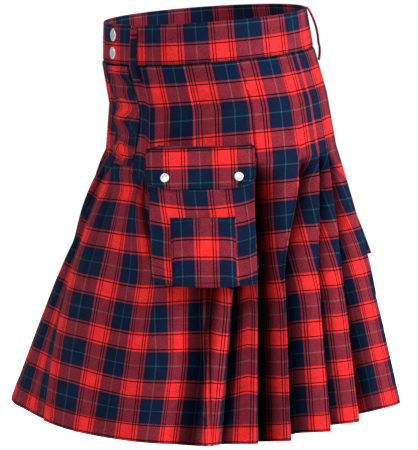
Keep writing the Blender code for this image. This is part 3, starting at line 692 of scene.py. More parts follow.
def threadRamp(tree, place, widths, yarns):
    # colours of one repeat of thread stripes, with slightly soft borders; alpha darkens the thin black lines
    total = sum(width for name, width in widths)
    soft, half = tartan["softness"] / total / 2, tartan["tealWidth"] / total / 2
    stops, position = [(0.0, "teal"), (half, "teal")], 0.0
    for name, width in widths:
        low, high = position / total, (position + width) / total
        stops += [(max(low + soft, half + 2 * soft), name), (min(high - soft, 1.0 - half - 2 * soft), name)]
        position += width
    stops.append((1.0 - half, "teal"))
    node = addNode(tree, "ValToRGB", {0: place})
    elements = node.color_ramp.elements
    while len(elements) < len(stops):
        elements.new(1.0)
    for element, (spot, name) in zip(elements, stops):
        element.position = min(spot, 1.0)
        element.color = (*yarns[name], tartan["blackAlpha"] if name == "black" else 1.0)
    return node.outputs["Color"], node.outputs["Alpha"]


def makeTartanGroup():
    # warp and weft stripes mixed as a twill mixes them, half and half to the eye
    group, inside, outside = newGroup(
        "brushedTartan", {"Across": 0.0, "Down": 0.0, "Nap": 0.16}, {"Color": "Color", "Height": "Float"})
    calc = partial(mathNode, group)
    across, down = inside["Across"], inside["Down"]
    threads = []
    weftYarns = dict(tartan, red=tartan["redWeft"])
    for place, widths, yarns in ((across, tartan["warp"], tartan), (down, tartan["weft"], weftYarns)):
        phase = calc("FRACT", calc("ADD", calc("DIVIDE", place, tartan["repeat"] * metre), 0.5))
        colour, dark = threadRamp(group, phase, widths, yarns)
        lifted = addNode(group, "Gamma", {"Color": colour, "Gamma": tartan["gamma"]}).outputs["Color"]
        threads.append((lifted, dark))
    (warpColour, warpDark), (weftColour, weftDark) = threads

    diagonal = calc("FRACT", calc("DIVIDE", calc("ADD", across, down), tartan["twillStep"] * metre))
    twill = calc("PINGPONG", diagonal, 0.5)  # 0 to a half and back along the diagonal
    mixed = mixNode(group, calc("MULTIPLY_ADD", twill, *tartan["twillMix"]), warpColour, weftColour)
    parted = addNode(group, "SeparateColor", {0: mixed}).outputs
    back = addNode(group, "CombineColor", {
        channel: calc("POWER", parted[channel], power) for channel, power in enumerate(tartan["mixPowers"])
    })

    spot = addNode(group, "CombineXYZ", {"X": across, "Y": down}).outputs[0]
    fuzz, patches = (
        addNode(group, "TexNoise", {"Scale": scale, "Detail": detail, "Vector": spot}).outputs["Fac"]
        for scale, detail in tartan["noises"]
    )
    broad = calc("MULTIPLY", calc("SUBTRACT", patches, 0.5), tartan["patchShare"])
    mottle = calc("ADD", calc("SUBTRACT", fuzz, 0.5), broad)
    brightness = calc("MULTIPLY_ADD", calc("MULTIPLY", mottle, inside["Nap"]), tartan["mottle"], 1.0)
    shade = calc("MULTIPLY", brightness, calc("MINIMUM", warpDark, weftDark))
    feedNode(group, outside, {
        "Color": scaleNode(group, back.outputs["Color"], shade),
        "Height": calc("ADD", twill, calc("MULTIPLY", fuzz, tartan["napHeight"])),
    })
    return group


def makeStitchGroup():
    # a row of stitches: short capsules in a line, each sunk into the cloth
    defaults = {"Aside": 0.05, "Along": 0.0, "Step": stitchLook["step"] * metre, "Thread": stitchLook["thread"] * metre}
    group, inside, outside = newGroup("stitchRow", defaults, {"Mask": "Float", "Height": "Float"})
    calc = partial(mathNode, group)
    aside = calc("ABSOLUTE", inside["Aside"])
    phase = calc("FRACT", calc("DIVIDE", inside["Along"], inside["Step"]))
    length = calc("LESS_THAN", calc("ABSOLUTE", calc("SUBTRACT", phase, 0.5)), stitchLook["filled"])
    mask = calc("MULTIPLY", length, calc("LESS_THAN", aside, inside["Thread"]))
    groove = group.nodes.new("ShaderNodeMapRange")
    groove.interpolation_type = "SMOOTHSTEP"
    feedNode(group, groove, {
        "Value": aside, "From Min": 0.0, "From Max": stitchLook["groove"] * metre, "To Min": -1.0, "To Max": 0.0,
    })
    feedNode(group, outside, {"Mask": mask, "Height": calc("ADD", groove.outputs[0], mask)})
    return group


tartanGroup = makeTartanGroup()
stitchGroup = makeStitchGroup()


def attributeNode(tree, name):
    # a number stored on the mesh
    node = tree.nodes.new("ShaderNodeAttribute")
    node.attribute_name = name
    return node.outputs["Fac"]


def groupNode(tree, group, inputs):
    # one use of a node group
    node = tree.nodes.new("ShaderNodeGroup")
    node.node_tree = group
    return feedNode(tree, node, inputs).outputs


def clothMaterial(name, thread):
    # tartan from the piece's plaid map, stitches from its own attributes, soft brushed surface; painted shade from an
    # attribute darkens its colour, specular and sheen
    material, tree, shader = newMaterial(name)
    plaid = tree.nodes.new("ShaderNodeUVMap")
    plaid.uv_map = "plaid"
    place = addNode(tree, "SeparateXYZ", {0: plaid.outputs["UV"]}).outputs
    cloth = groupNode(tree, tartanGroup, {"Across": place["X"], "Down": place["Y"], "Nap": tartan["nap"]})
    stitches = groupNode(tree, stitchGroup, {
        "Aside": attributeNode(tree, "stitchAcross"), "Along": attributeNode(tree, "stitchAlong"),
    })
    # painted shade stored on the mesh
    shade = attributeNode(tree, "paintedShade")
    bump = addNode(tree, "Bump", {
        "Strength": tartan["bumpStrength"],
        "Distance": tartan["bumpDistance"],
        "Height": mathNode(tree, "MULTIPLY_ADD", stitches["Height"], stitchLook["height"], cloth["Height"]),
    })
    feedNode(tree, shader, {
        "Base Color": mixNode(tree, stitches["Mask"], scaleNode(tree, cloth["Color"], shade), (*thread, 1.0)),
        "Roughness": tartan["roughness"],
        "Specular IOR Level": mathNode(tree, "MULTIPLY", shade, tartan["specular"]),
        "Sheen Weight": mathNode(tree, "MULTIPLY", shade, tartan["sheen"]),
        "Sheen Roughness": tartan["sheenRoughness"],
        "Normal": bump.outputs["Normal"],
    })
    return material


skirtCloth = clothMaterial("skirtFlannel", (0.006, 0.004, 0.01))
bandCloth = clothMaterial("bandFlannel", (0.006, 0.004, 0.01))
patchCloth = clothMaterial("patchFlannel", (0.006, 0.005, 0.012))
print("Cloth materials are made")

skirtFinish = {
    "wall": 1.5,
    # how far the top edge turns in under the waistband and rises, and over what height
    "turnIn": 2.0,
    "turnDrop": 1.5,
    "turnRise": 0.95,
    "length": 0.584,
    "hemDepth": 27.0,
    "hemProud": 0.5,
    "hemRoll": 1.5,
    # painted shadow under the waistband: how dark at the seam, and the drop over which it fades
    "seamPaintedShadow": 0.8,
    "seamPaintedShadowDrop": 2.4,
    # creases: lean, width, length, height; the cloth's width for each, and the drops between which they lie
    "creases": (0.0, 13.0, 70.0, 1.0),
    "creaseSpacing": 22.0,
    "creaseDrops": (60.0, 520.0),
    # drops over which they grow, what they have before, and how near the sides they fade
    "creaseGrows": (150.0, 270.0),
    "creaseLeast": 0.25,
    "creaseHeight": 1.5,
    "pinnedEdge": 12.0,
    "grooveFill": 0.75,
    "grooveStarts": 0.1,
    "grooveReach": 95.0,
}


def grooveFill(lines, height):
    # outward moves that nearly fill the groove between a side's first two fold edges
    direction, radius = linesPolar(lines, height)
    side = np.sign(lines["hip"][-1])
    directions, radii = [], []
    for edge in (pleats["z" if side > 0 else "zRight"], pleats["a"]):
        point = planPoints(np.array([side * edge["hem"]]), edge["radius"])
        line = packLines(side * edge["hip"], side * edge["middle"], point, bodyShape["stepHeight"], 0.0, 0.0, 0, 0, 0)
        place = linesPolar(line, height)
        directions.append(place[0])
        radii.append(place[1])
    share = (direction - directions[0]) / (directions[1] - directions[0])
    inside = (share > 0.0) & (share < 1.0)
    depth = np.where(inside, radii[0] + (radii[1] - radii[0]) * share - radius, 0.0)
    opened = easeShare(loosePart(height, lines["hip"]) / skirtFinish["grooveStarts"])
    return skirtFinish["grooveFill"] * np.maximum(depth, 0.0) * opened


def skirtGrid(lines, height):
    # the cloth's places at every row; the top edge turns in under the waistband, so no light comes through the seam
    direction, radius = linesPolar(lines, height)
    turned = np.exp(-(((bodyShape["seam"] - height) / skirtFinish["turnDrop"]) ** 2))
    points = placePoints(direction, radius - skirtFinish["turnIn"] * turned, height)
    points[..., 2] += skirtFinish["turnRise"] * turned - hemDrop(lines, height)
    if abs(lines["hip"][-1]) < skirtFinish["grooveReach"]:
        points[..., :2] += planPoints(direction, grooveFill(lines, height))
    return points


def plaidAcross(lines, height, points):
    # distance across the cloth: from the start of each face while stitched, from its fold edge once it hangs loose;
    # a loose front panel follows its own lines
    steps, arc = stepLengths(points, 1), arcAlong(points, 1)
    kind, edgeAt = lines["kind"], lines["edgeAt"]
    loose = loosePart(height, lines["hip"])
    settle = easeShare(loose / checkLayout["looseSettles"])
    edgeValue = checkLayout["stitchedEdge"] + (edgeAt - checkLayout["stitchedEdge"]) * settle
    start, end = np.zeros_like(steps), np.zeros_like(steps)
    bounds = [0, *(np.flatnonzero(np.diff(kind) != 0) + 1), len(kind)]
    for first, last in zip(bounds, bounds[1:]):
        span, inner = slice(first, last), slice(first, last - 1)
        fromFirst, toLast = arc[:, span] - arc[:, first:first + 1], arc[:, last - 1:last] - arc[:, span]
        if kind[first] % 2 == 1:
            value, blend = edgeValue[:, first:first + 1] + fromFirst, "returnBlend"
            sewn = lines["startAt"][last - 1] - toLast
        elif last - first == pleatShape["frontColumns"]:
            most = steps[:, inner] * np.interp(loose[:, inner], *checkLayout["frontStretch"])
            part = np.minimum(np.diff(edgeAt[span])[None, :], most)
            beyond = edgeAt[last - 1] - np.cumsum(np.pad(part, ((0, 0), (0, 1)))[:, ::-1], axis=1)[:, ::-1]
            before = np.abs(lines["hem"][None, span]) <= checkLayout["foldAt"][int(lines["hem"][last - 1] < 0)]
            value, blend = np.where(before, edgeAt[None, span], beyond), "frontBlend"
            sewn = checkLayout["stitchedEdge"] - toLast - np.where(before, checkLayout["foldJump"], 0.0)
        else:
            value, blend = edgeValue[:, last - 1:last] - toLast, "faceBlend"
            sewn = lines["startAt"][first] + fromFirst * checkLayout["stitchedScale"]
        value = sewn + (value - sewn) * easeShare(loose[:, span] / checkLayout[blend])
        start[:, inner], end[:, inner] = value[:, :-1], value[:, 1:]
        if last < len(kind):
            start[:, last - 1] = end[:, last - 1] = value[:, -1]
    return start, end


def plaidDown(lines, points):
    # distance down the cloth, every line stretched to the cut's full length, then read as places in the check
    arc = arcAlong(points, 0)
    down = arc * (checkLayout["length"] / arc[-1:])
    repeat, middles = checkLayout["repeat"], np.array(checkLayout["bandMiddles"])
    drift = np.interp(lines["hem"], checkLayout["driftDirections"], checkLayout["drift"])
    (starts, full), (ends, ended) = checkLayout["driftStarts"], checkLayout["driftEnds"]
    moved = down - drift * easeShare((down - starts) / (full - starts)) * easeShare((ended - down) / (ended - ends))
    places = np.arange(len(middles)) * repeat
    low = (moved - middles[0]) * (repeat / (middles[1] - middles[0]))
    high = places[-1] + (moved - middles[-1])
    check = np.where(moved < middles[0], low, np.where(moved > middles[-1], high, np.interp(moved, middles, places)))
    return down, check


def paintedCavityShade(lines, height):
    # painted shade standing in for shadow in the pleats: darker the deeper a place lies behind the straight span
    # between the fold edges on either side of it, and darker on a face beside the fold before it
    direction, radius = linesPolar(lines, height)
    kind, loose = lines["kind"], loosePart(height, lines["hip"])
    changes = np.flatnonzero(np.diff(kind) != 0)
    ends = np.append(changes, len(kind) - 1)
    ridges = ends[kind[ends] % 2 == 0]
    span = radius[:, ridges[:1]] + np.zeros_like(radius)
    for near, far in zip(ridges, ridges[1:]):
        apart = direction[:, far:far + 1] - direction[:, near:near + 1]
        share = np.clip((direction - direction[:, near:near + 1]) / apart, 0.0, 1.0)
        span += (radius[:, far:far + 1] - radius[:, near:near + 1]) * share
    hollow = kind > 0 if np.sum(kind == 0) > pleatShape["faceColumns"] else 1.0
    depth = np.maximum(span - radius - paintedCavityLook["slack"], 0.0) * hollow * easeShare(loose / paintedCavityLook["starts"])
    reach = np.interp(loose, paintedCavityLook["shares"], paintedCavityLook["depths"])
    shade = paintedCavityLook["floor"] + (1.0 - paintedCavityLook["floor"]) * np.exp(-((depth / reach) ** paintedCavityLook["power"]))
    starts = np.concatenate([[0], changes + 1])
    first = starts[np.searchsorted(starts, np.arange(len(kind)), side="right") - 1]
    away = np.radians(np.abs(direction - direction[:, first])) * radius
    wide = np.maximum(lines["paintedShadeWidth"], 0.1) * (1.0 + paintedCavityLook["besideGrowth"] * loose)
    bell = np.exp(-((away / wide) ** 2)) * (lines["paintedShadeWidth"] > 0)
    return shade * (1.0 - paintedCavityLook["besideFold"] * bell * easeShare(loose / paintedCavityLook["besideStarts"]))


def makePanel(name, node, parts, side, seed, troughs=()):
    # a skirt panel: its lines' grid, soft creases along the outward normal, and the hem's turned edge
    lines = joinLines(parts)
    height = np.linspace(bodyShape["seam"], bodyShape["hem"], pleatShape["skirtRows"])[:, None]
    drop = bodyShape["seam"] - height
    points = skirtGrid(lines, height)
    start, end = plaidAcross(lines, height, points)
    down, check = plaidDown(lines, points)
    # painted shade in the pleats' hollows and beside their folds, standing in for shadow
    shade = paintedCavityShade(lines, height)
    # painted shadow under the waistband's lower edge
    shade = shade * (1.0 - skirtFinish["seamPaintedShadow"] * np.exp(-((drop / skirtFinish["seamPaintedShadowDrop"]) ** 2)))
    if side < 0:
        points, down, check, shade, start, end = (grid[:, ::-1] for grid in (points, down, check, shade, end, start))
    arc = arcAlong(points, 1)
    across, width = arc[-1:], arc[-1, -1]
    creases = (int(width / skirtFinish["creaseSpacing"]), *skirtFinish["creases"])
    crease = softCreases(across, drop, seed, (0.0, width, *skirtFinish["creaseDrops"]), creases)
    trough = 0.0
    if troughs:
        trough, dark = troughField(lines, height, arc if side > 0 else arc[:, -1:] - arc[:, ::-1], troughs)
        if side < 0:
            trough, dark = trough[:, ::-1], dark[:, ::-1]
        # painted shade along the troughs
        shade = shade * dark
    hemRise = checkLayout["length"] - down
    proud = skirtFinish["hemProud"] * easeShare((skirtFinish["hemDepth"] - hemRise) / skirtFinish["hemRoll"])
    pinned = np.minimum(1.0, np.minimum(across, width - across) / skirtFinish["pinnedEdge"])
    (grows, grown), least = skirtFinish["creaseGrows"], skirtFinish["creaseLeast"]
    loose = least + (1.0 - least) * easeShare((drop - grows) / (grown - grows))
    points = moveOut(points, crease * skirtFinish["creaseHeight"] * loose * pinned + proud + trough * pinned)
    stitch = hemRise - skirtFinish["hemDepth"], across
    piece = clothPiece(name, points, skirtFinish["wall"], (start, end), check, stitch, shade)
    flat = (round(meshArea(piece) / skirtFinish["length"], 3), skirtFinish["length"])
    finishSheet(piece, node, skirtCloth)


leftFront = frontRun(pleatShape["leftFront"], "z")
leftSide = pleatRun(["z", "a", "b", "c"])
leftBack = pleatRun(["c", "d", "e", "f", "g", "h"])
lastFace = faceLines(hiddenFold("h"), "centreBack", 10)
lastFace["lift"] = lastFace["lift"] * np.linspace(1.0, 0.0, len(lastFace["lift"]))
leftBack.append(lastFace)
rightFront = frontRun(pleatShape["rightFront"], "zRight")
rightSide = [mirrorLines(part) for part in pleatRun(["zRight", "a", "b", "c"])]
rightBack = [mirrorLines(part) for part in leftBack]

makePanel("frontPanelLeftCloth", "front_panel_left", leftFront, 1.0, 11, frontTroughs["left"])
makePanel("frontPanelRightCloth", "front_panel_right", rightFront, -1.0, 12, frontTroughs["right"])
makePanel("leftSideCloth", "left_side_panel", leftSide, 1.0, 13)
makePanel("rightSideCloth", "right_side_panel", rightSide, -1.0, 14)
makePanel("leftBackCloth", "left_back_panel", leftBack, 1.0, 15)
makePanel("rightBackCloth", "right_back_panel", rightBack, -1.0, 16)
print("Skirt panels are made")

waistband = {
    "start": -31.0,
    "finish": 366.0,
    "underFrom": 312.0,
    "underTo": 326.0,
    "inset": 3.6,
    "proud": 1.0,
    "top": 26.0,
    "bottom": -32.0,
    "columns": 460,
    "rows": 26,
    "wall": 2.6,
    "roll": 0.9,
    "rollWidth": 2.5,
    "stitchInset": 3.0,
    # creases of this and of all other pieces: count, lean, width, length, height
    "creases": (60, 0.4, 9.0, 22.0, 0.45),
    "checkDown": 29.5,
    # distances along the band and the check's places there
    "checkAlong": [-53.0, -3.0, 51.4, 79.0, 154.1, 191.1, 229.1, 265.7, 307.0, 349.2, 1449.2],
    "checkPlaces": [-104.4, -54.4, 0.0, 35.5, 124.5, 159.5, 195.5, 230.5, 266.5, 301.5, 1401.5],
}


def makeWaistband():
    # a strip round the waist, a little proud of the body, that slips under its own front end; its edges roll in
    direction = np.linspace(waistband["start"], waistband["finish"], waistband["columns"])[None, :]
    height = np.linspace(waistband["top"], waistband["bottom"], waistband["rows"])[:, None]
    under = easeShare((direction - waistband["underFrom"]) / (waistband["underTo"] - waistband["underFrom"]))
    radius = bodyRadius(direction, height) + waistband["proud"] - waistband["inset"] * under
    points = placePoints(direction, radius, height)
    across, down = arcAlong(points, 1), arcAlong(points, 0)
    middle = across[len(across) // 2][None, :]
    width, length = middle[0, -1], down[-1].mean()
    roll = -waistband["roll"] * (1.0 - easeShare(np.minimum(down, length - down) / waistband["rollWidth"]))
    crease = softCreases(middle, down, 21, (0.0, width, 0.0, length), waistband["creases"])
    inset = waistband["stitchInset"]
    stitch = nearestStitches(middle, down, [inset], [inset, length - inset])
    check = np.interp(middle, waistband["checkAlong"], waistband["checkPlaces"])
    points, down = moveOut(points, roll + crease), down + waistband["checkDown"]
    piece = clothPiece("waistbandCloth", points, waistband["wall"], check, down, stitch)
    finishSheet(piece, "waistband", bandCloth)


makeWaistband()
print("Waistband is made")

loopShape = {
    # direction, clear gap, and the check's place on the strip
    "rows": [(10.0, 2.6, 22.0), (140.0, 9.4, 12.0), (180.0, 9.4, 30.0), (-140.0, 9.4, 14.0), (-90.0, 9.4, 12.0)],
    "width": 13.0,
    "thickness": 2.2,
    "wall": 2.1,
    "top": 25.0,
    "foot": -55.0,
    # heights between which it goes over from the band to the stitched pleats
    "step": [-36.0, -28.0],
    "seamGap": 0.3,
    "bulgePower": 0.7,
    "roll": 0.5,
    "gridRows": 50,
    "gridColumns": 9,
    "stitchInset": 4.0,
    "checkScale": 0.7,
    "checkDown": 2.0,
}


def makeLoop(number, direction, gap, checkAcross):
    # a strip that starts on the waistband, bows out by a sine power and ends on the cloth below
    share = np.linspace(0.0, 1.0, loopShape["gridRows"])[:, None]
    side = np.linspace(-1.0, 1.0, loopShape["gridColumns"])[None, :]
    height = loopShape["top"] + (loopShape["foot"] - loopShape["top"]) * share
    across = direction + np.degrees(0.5 * loopShape["width"] / bodyRadius(direction, 0.0)) * side
    back = loopShape["seamGap"] + gap * np.sin(np.pi * share) ** loopShape["bulgePower"]
    base = bodyRadius(across, height)
    base = base + np.interp(height, loopShape["step"], [bodyShape["stepHeight"], waistband["proud"]])
    radius = base + back + loopShape["thickness"] - loopShape["roll"] * np.abs(side) ** 4
    points = placePoints(across, radius, height)
    width, down = side * loopShape["width"] / 2, arcAlong(points, 0)
    length, inset = down[-1].mean(), loopShape["stitchInset"]
    stitch = nearestStitches(width, down, [-inset, inset], [inset, length - inset])
    check = down * loopShape["checkScale"] + loopShape["checkDown"]
    piece = clothPiece("beltLoopCloth" + str(number), points, loopShape["wall"], width + checkAcross, check, stitch)
    finishSheet(piece, "belt_loop_" + str(number), skirtCloth)


for loopNumber, loopRow in enumerate(loopShape["rows"], start=1):
    makeLoop(loopNumber, *loopRow)
print("Belt loops are made")


# Cloth pulled tight over fold edges: how far apart these may be, the least, and how far it reaches to both sides.
bridgeLook = {
    "most": 60.0,
    "least": 0.01,
    "offsets": np.linspace(-4.0, 4.0, 5),
}


def bridgeRadius(wanted, height, lines):
    # radius of the widest straight span between a line before the direction and a line behind it
    direction, radius = linesPolar(lines, height)
    most = bridgeLook["most"]
    near = (direction <= wanted) & (direction > wanted - most)
    far = (direction >= wanted) & (direction < wanted + most)
    low, high = direction[near][:, None], direction[far][None, :]
    lowRadius, highRadius = radius[near][:, None], radius[far][None, :]
    reach = lowRadius * np.sin(np.radians(wanted - low)) + highRadius * np.sin(np.radians(high - wanted))
    span = (high - low > bridgeLook["least"]) & (high - low <= most)
    product = lowRadius * highRadius * np.sin(np.radians(high - low))
    value = np.where(span, product / np.maximum(reach, 1e-6), 0.0)
    return value.max() if value.size else 0.0


def widestBridge(directions, heights, lines):
    # the widest bridge from a few degrees before each place to a few degrees behind it
    return np.array([
        max(bridgeRadius(direction + offset, height, lines) for offset in bridgeLook["offsets"])
        for direction, height in zip(directions, heights)
    ])


def rounded(share):
    # 0 at both edges and 1 in the middle
    return 4.0 * share * (1.0 - share)


def stackRows(side, rows):
    # outer and inner grid of one side, from rows of directions, outer radii, inner radii and heights
    grids = [np.array([placePoints(side * row[0], row[layer], row[3]) for row in rows]) for layer in (1, 2)]
    return grids if side > 0 else [grid[:, ::-1] for grid in grids]


def pouchPoints(outer, inner, steps):
    # the face, with rows and columns added round it that run back from its rim to the inner grid
    turn = np.sin(np.linspace(1.0, 0.0, steps + 1)[:-1] * np.pi / 2)

    def wrap(face, base):
        low = [face[0] + (base[0] - face[0]) * part for part in turn]
        high = [face[-1] + (base[-1] - face[-1]) * part for part in turn[::-1]]
        return np.array([*low, *face, *high])

    face, base = (np.swapaxes(wrap(grid, inner), 0, 1) for grid in (outer, inner))
    return np.swapaxes(wrap(face, base), 0, 1)


def sheetFrame(points):
    # distance across from the middle and down, half the width, and the length
    across, down = arcAlong(points, 1), arcAlong(points, 0)
    return across - across[:, -1:] / 2, down, across[:, -1:].mean() / 2, down[-1].mean()


def seamRidge(edge, height, width):
    # a bell along the seam, a little in from the edge
    return height * np.exp(-((edge - 2.5) / width) ** 2)


def planOutwards(points):
    # level unit directions away from the waist's axis
    away = points * np.array([1.0, 1.0, 0.0])
    return away / np.linalg.norm(away, axis=-1, keepdims=True)


def pocketPiece(title, node, look, points, across, down, stitch, shade=1.0):
    # one cloth piece of a pocket, its size as cut measured on its own surface
    piece = clothPiece(title + "Cloth", points, look["wall"], across + look["checkAcross"], down, stitch, shade)
    length = float(arcAlong(points, 0)[-1].max()) * metre
    flat = (round(meshArea(piece) / length, 3), round(length, 3))
    finishSheet(piece, node, look["cloth"])


def paintedTopShade(down, least, dark, light):
    # painted shade at the top edge, standing in for the shadow in the gap along it, that ends a little way down
    return least + (1.0 - least) * easeShare((down - dark) / (light - dark))


def makePouch(title, node, look, side, grids, seed):
    # a creased face, standing up or sunk along its seam, with a gusset back to the inner grid
    face, base = (refineGrid(grid, *look["grid"]) for grid in grids)
    middle, down, half, length = sheetFrame(face)
    edge = np.minimum(half - np.abs(middle), length - down)
    crease = softCreases(middle, down, seed, (-half, half, 0.0, length), look["creases"])
    sink, sinkWidth = look["sink"]
    rim = seamRidge(edge, *look["ridge"]) - sink * (1.0 - easeShare(edge / sinkWidth))
    points = pouchPoints(moveOut(face, crease * easeShare(edge / look["creaseEdge"]) + rim), base, look["sideRows"])
    centre, down = sheetFrame(points)[:2]
    sewn = half - look["stitchInset"]
    stitch = nearestStitches(centre, down, [-sewn, sewn], [end * length + place for end, place in look["stitchRows"]])
    check = down * look["checkScale"] + (centre + look["checkAcross"]) * side * look["checkSlant"] + look["checkDown"]
    pocketPiece(title, node, look, points, centre, check, stitch, paintedTopShade(down, *look["shade"]))


sides = {"left": 1.0, "right": -1.0}

cargoPocket = {
    # direction that its face looks, its distance at top and bottom, its shift to the back at both
    "places": {"left": (47.0, 166.0, 226.0, 17.4, 32.8), "right": (92.0, 197.0, 238.0, 37.0, 20.0)},
    "rows": [-150.0, -170.0, -190.0, -207.0, -226.0, -246.0, -268.0, -290.0, -314.0, -336.0],
    "halfWidth": 75.5,
    "shares": [0.0, 0.07, 0.2, 0.36, 0.51, 0.66, 0.81, 0.93, 1.0],
    "curl": 7.0,
    "curlPower": 3.0,
    "leastDepth": 5.0,
    "sag": 4.0,
    "gap": 1.25,
    "wall": 1.5,
    "grid": (96, 78),
    "sideRows": 5,
    "creases": (26, 0.15, 9.0, 30.0, 0.8),
    "creaseEdge": 10.0,
    # seam: height and width of its ridge, depth and width of its hollow
    "ridge": (0.7, 2.2),
    "sink": (0.0, 1.0),
    "stitchInset": 4.0,
    # rows of stitches: from the top (0) or the bottom (1), and how far below it
    "stitchRows": [(1, 2.0)],
    # painted shade at the top edge: least brightness there, and the distances down where it starts to grow and is full
    "shade": (1.0, 0.0, 1.0),
    "checkAcross": -38.0,
    "checkDown": -30.2,
    "checkScale": 0.93,
    "checkSlant": 0.149,
    "cloth": skirtCloth,
    "slot": "plaid_red",
}

pocketFlap = {
    "rows": 4,
    "wall": 2.1,
    "outside": 2.9,
    "overhang": 1.6,
    "corners": [0.6, 0.3, 0.0],
    "grid": (34, 84),
    "creases": (14, 0.9, 7.0, 22.0, 0.5),
    "creaseEdge": 8.0,
    "ridge": (0.5, 2.0),
    "curl": 1.6,
    "curlWidth": 16.0,
    "curlFrom": 0.55,
    "stitchInset": 4.0,
    # painted shade at the top edge: least brightness, and the distances down where it starts to grow and is full
    "shade": (0.12, 1.2, 3.0),
    "checkAcross": -36.0,
    "checkDown": -15.5,
    "cloth": skirtCloth,
    "slot": "plaid_red",
}

patchPocket = {
    "firstRow": 5,
    "columns": (2, 7),
    "depth": 3.0,
    "bulge": 2.0,
    "gap": 0.3,
    "wall": 1.4,
    "grid": (56, 52),
    "sideRows": 3,
    "creases": (14, 0.2, 7.0, 24.0, 0.7),
    "creaseEdge": 8.0,
    "ridge": (0.0, 1.0),
    "sink": (2.0, 6.0),
    "stitchInset": 3.5,
    "stitchRows": [(0, 9.0), (1, -1.0)],
    # painted shade at the top edge: least brightness, and the distances down where it starts to grow and is full
    "shade": (0.25, 3.0, 4.8),
    "checkAcross": -5.0,
    "checkDown": -43.5,
    "checkScale": 0.9,
    "checkSlant": 0.0,
    "cloth": patchCloth,
    "slot": "plaid_navy",
}


def cargoGrids(side, looks, topDistance, lowDistance, topShift, lowShift, lines):
    # a nearly flat face at a distance, its sides curled back, never nearer than a little over the fold edges
    facing = math.radians(looks)
    made, rows, share = [], cargoPocket["rows"], np.array(cargoPocket["shares"])
    for row in rows:
        downShare = (rows[0] - row) / (rows[0] - rows[-1])
        distance = topDistance + (lowDistance - topDistance) * downShare
        across = topShift + (lowShift - topShift) * downShare + cargoPocket["halfWidth"] * (2.0 * share - 1.0)
        curl = cargoPocket["curl"] * np.abs(2.0 * share - 1.0) ** cargoPocket["curlPower"]
        x = (distance - curl) * math.sin(facing) + across * math.cos(facing)
        y = -(distance - curl) * math.cos(facing) + across * math.sin(facing)
        level = row - cargoPocket["sag"] * rounded(share) * (1.0 if row == rows[-1] else 0.0)
        back = y - sectionCentre(level)
        direction = np.degrees(np.arctan2(x, -back))
        bridge = widestBridge(direction, level, lines) + cargoPocket["gap"]
        made.append((direction, np.maximum(np.hypot(x, back), bridge + cargoPocket["leastDepth"]), bridge, level))
    return stackRows(side, made)


def makeFlap(prefix, outer, seed):
    # the pocket's top rows moved out, wider by an overhang, its lower corners cut and curled outwards
    covered = outer[:pocketFlap["rows"]].copy()
    for index, cut in enumerate(pocketFlap["corners"]):
        for column in (index, -1 - index):
            covered[-1, column] += (covered[-2, column] - covered[-1, column]) * cut
    covered = covered + planOutwards(covered) * pocketFlap["outside"]
    ends = []
    for end, neighbour in ((0, 1), (-1, -2)):
        step = covered[:, end] - covered[:, neighbour]
        step = step / np.linalg.norm(step, axis=-1, keepdims=True)
        ends.append((covered[:, end] + step * pocketFlap["overhang"])[:, None])
    points = refineGrid(np.concatenate([ends[0], covered, ends[1]], axis=1), *pocketFlap["grid"])
    centre, down, half = sheetFrame(points)[:3]
    length = down[-1:]
    near, inset = half - np.abs(centre), pocketFlap["stitchInset"]
    edge = np.minimum(near, np.minimum(length - down, down))
    lower = easeShare((down / length - pocketFlap["curlFrom"]) / (1.0 - pocketFlap["curlFrom"]))
    crease = softCreases(centre, down, seed, (-half, half, 0.0, length.max()), pocketFlap["creases"])
    move = crease * easeShare(edge / pocketFlap["creaseEdge"]) + seamRidge(edge, *pocketFlap["ridge"])
    points = moveOut(points, move + pocketFlap["curl"] * lower * np.exp(-(near / pocketFlap["curlWidth"]) ** 2))
    stitch = nearestStitches(centre, np.minimum(down, length - down), [inset - half, half - inset], [inset])
    pocketPiece(prefix + "Flap", prefix + "_pocket_flap", pocketFlap, points, centre, down + pocketFlap["checkDown"],
                stitch, paintedTopShade(down, *pocketFlap["shade"]))


def patchGrids(outer):
    # a part of the pocket's face moved out, bulging between its sides, and the same close to the face
    covered = outer[patchPocket["firstRow"]:, slice(*patchPocket["columns"])]
    away, share = planOutwards(covered), np.linspace(0.0, 1.0, covered.shape[1])[None, :, None]
    low = covered + away * patchPocket["gap"]
    return low + away * (patchPocket["depth"] + patchPocket["bulge"] * rounded(share) ** 0.5), low


overLeft = joinLines(leftFront + leftSide + leftBack[:4])
overRight = joinLines(rightFront + rightSide + rightBack[:8])
overRight.update({name: -overRight[name] for name in ("hip", "middle", "hem")})
for prefix, cover, seed in (("left", overLeft, 31), ("right", overRight, 41)):
    side = sides[prefix]
    cargo = cargoGrids(side, *cargoPocket["places"][prefix], cover)
    makePouch(prefix + "Cargo", prefix + "_cargo_pocket", cargoPocket, side, cargo, seed)
    makeFlap(prefix, cargo[0], seed + 1)
    patch = patchGrids(cargo[0])
    makePouch(prefix + "Patch", prefix + "_patch_pocket", patchPocket, side, patch, seed + 2)
print("Cargo pockets are made")

backPocket = {
    # height, front edge, back edge, depth of the gusset
    "edges": [(-182.0, 150.5, 176.0, 2.0), (-250.0, 150.0, 176.0, 3.5), (-338.0, 148.0, 176.0, 14.0)],
    "rows": [-182.0, -210.0, -245.0, -278.0, -310.0, -338.0],
    "shares": [0.0, 0.08, 0.3, 0.5, 0.7, 0.92, 1.0],
    "curl": 0.12,
    "gap": 0.85,
    "wall": 1.4,
    "grid": (80, 46),
    "sideRows": 4,
    "creases": (14, 0.2, 9.0, 30.0, 0.6),
    "creaseEdge": 8.0,
    "ridge": (0.0, 1.0),
    "sink": (0.0, 1.0),
    "stitchInset": 4.0,
    "stitchRows": [(0, 12.0), (1, -2.0)],
    "shade": (1.0, 0.0, 1.0),
    "checkAcross": 20.0,
    "checkDown": 30.0,
    "checkScale": 1.0,
    "checkSlant": 0.0,
    "cloth": skirtCloth,
    "slot": "plaid_red",
}


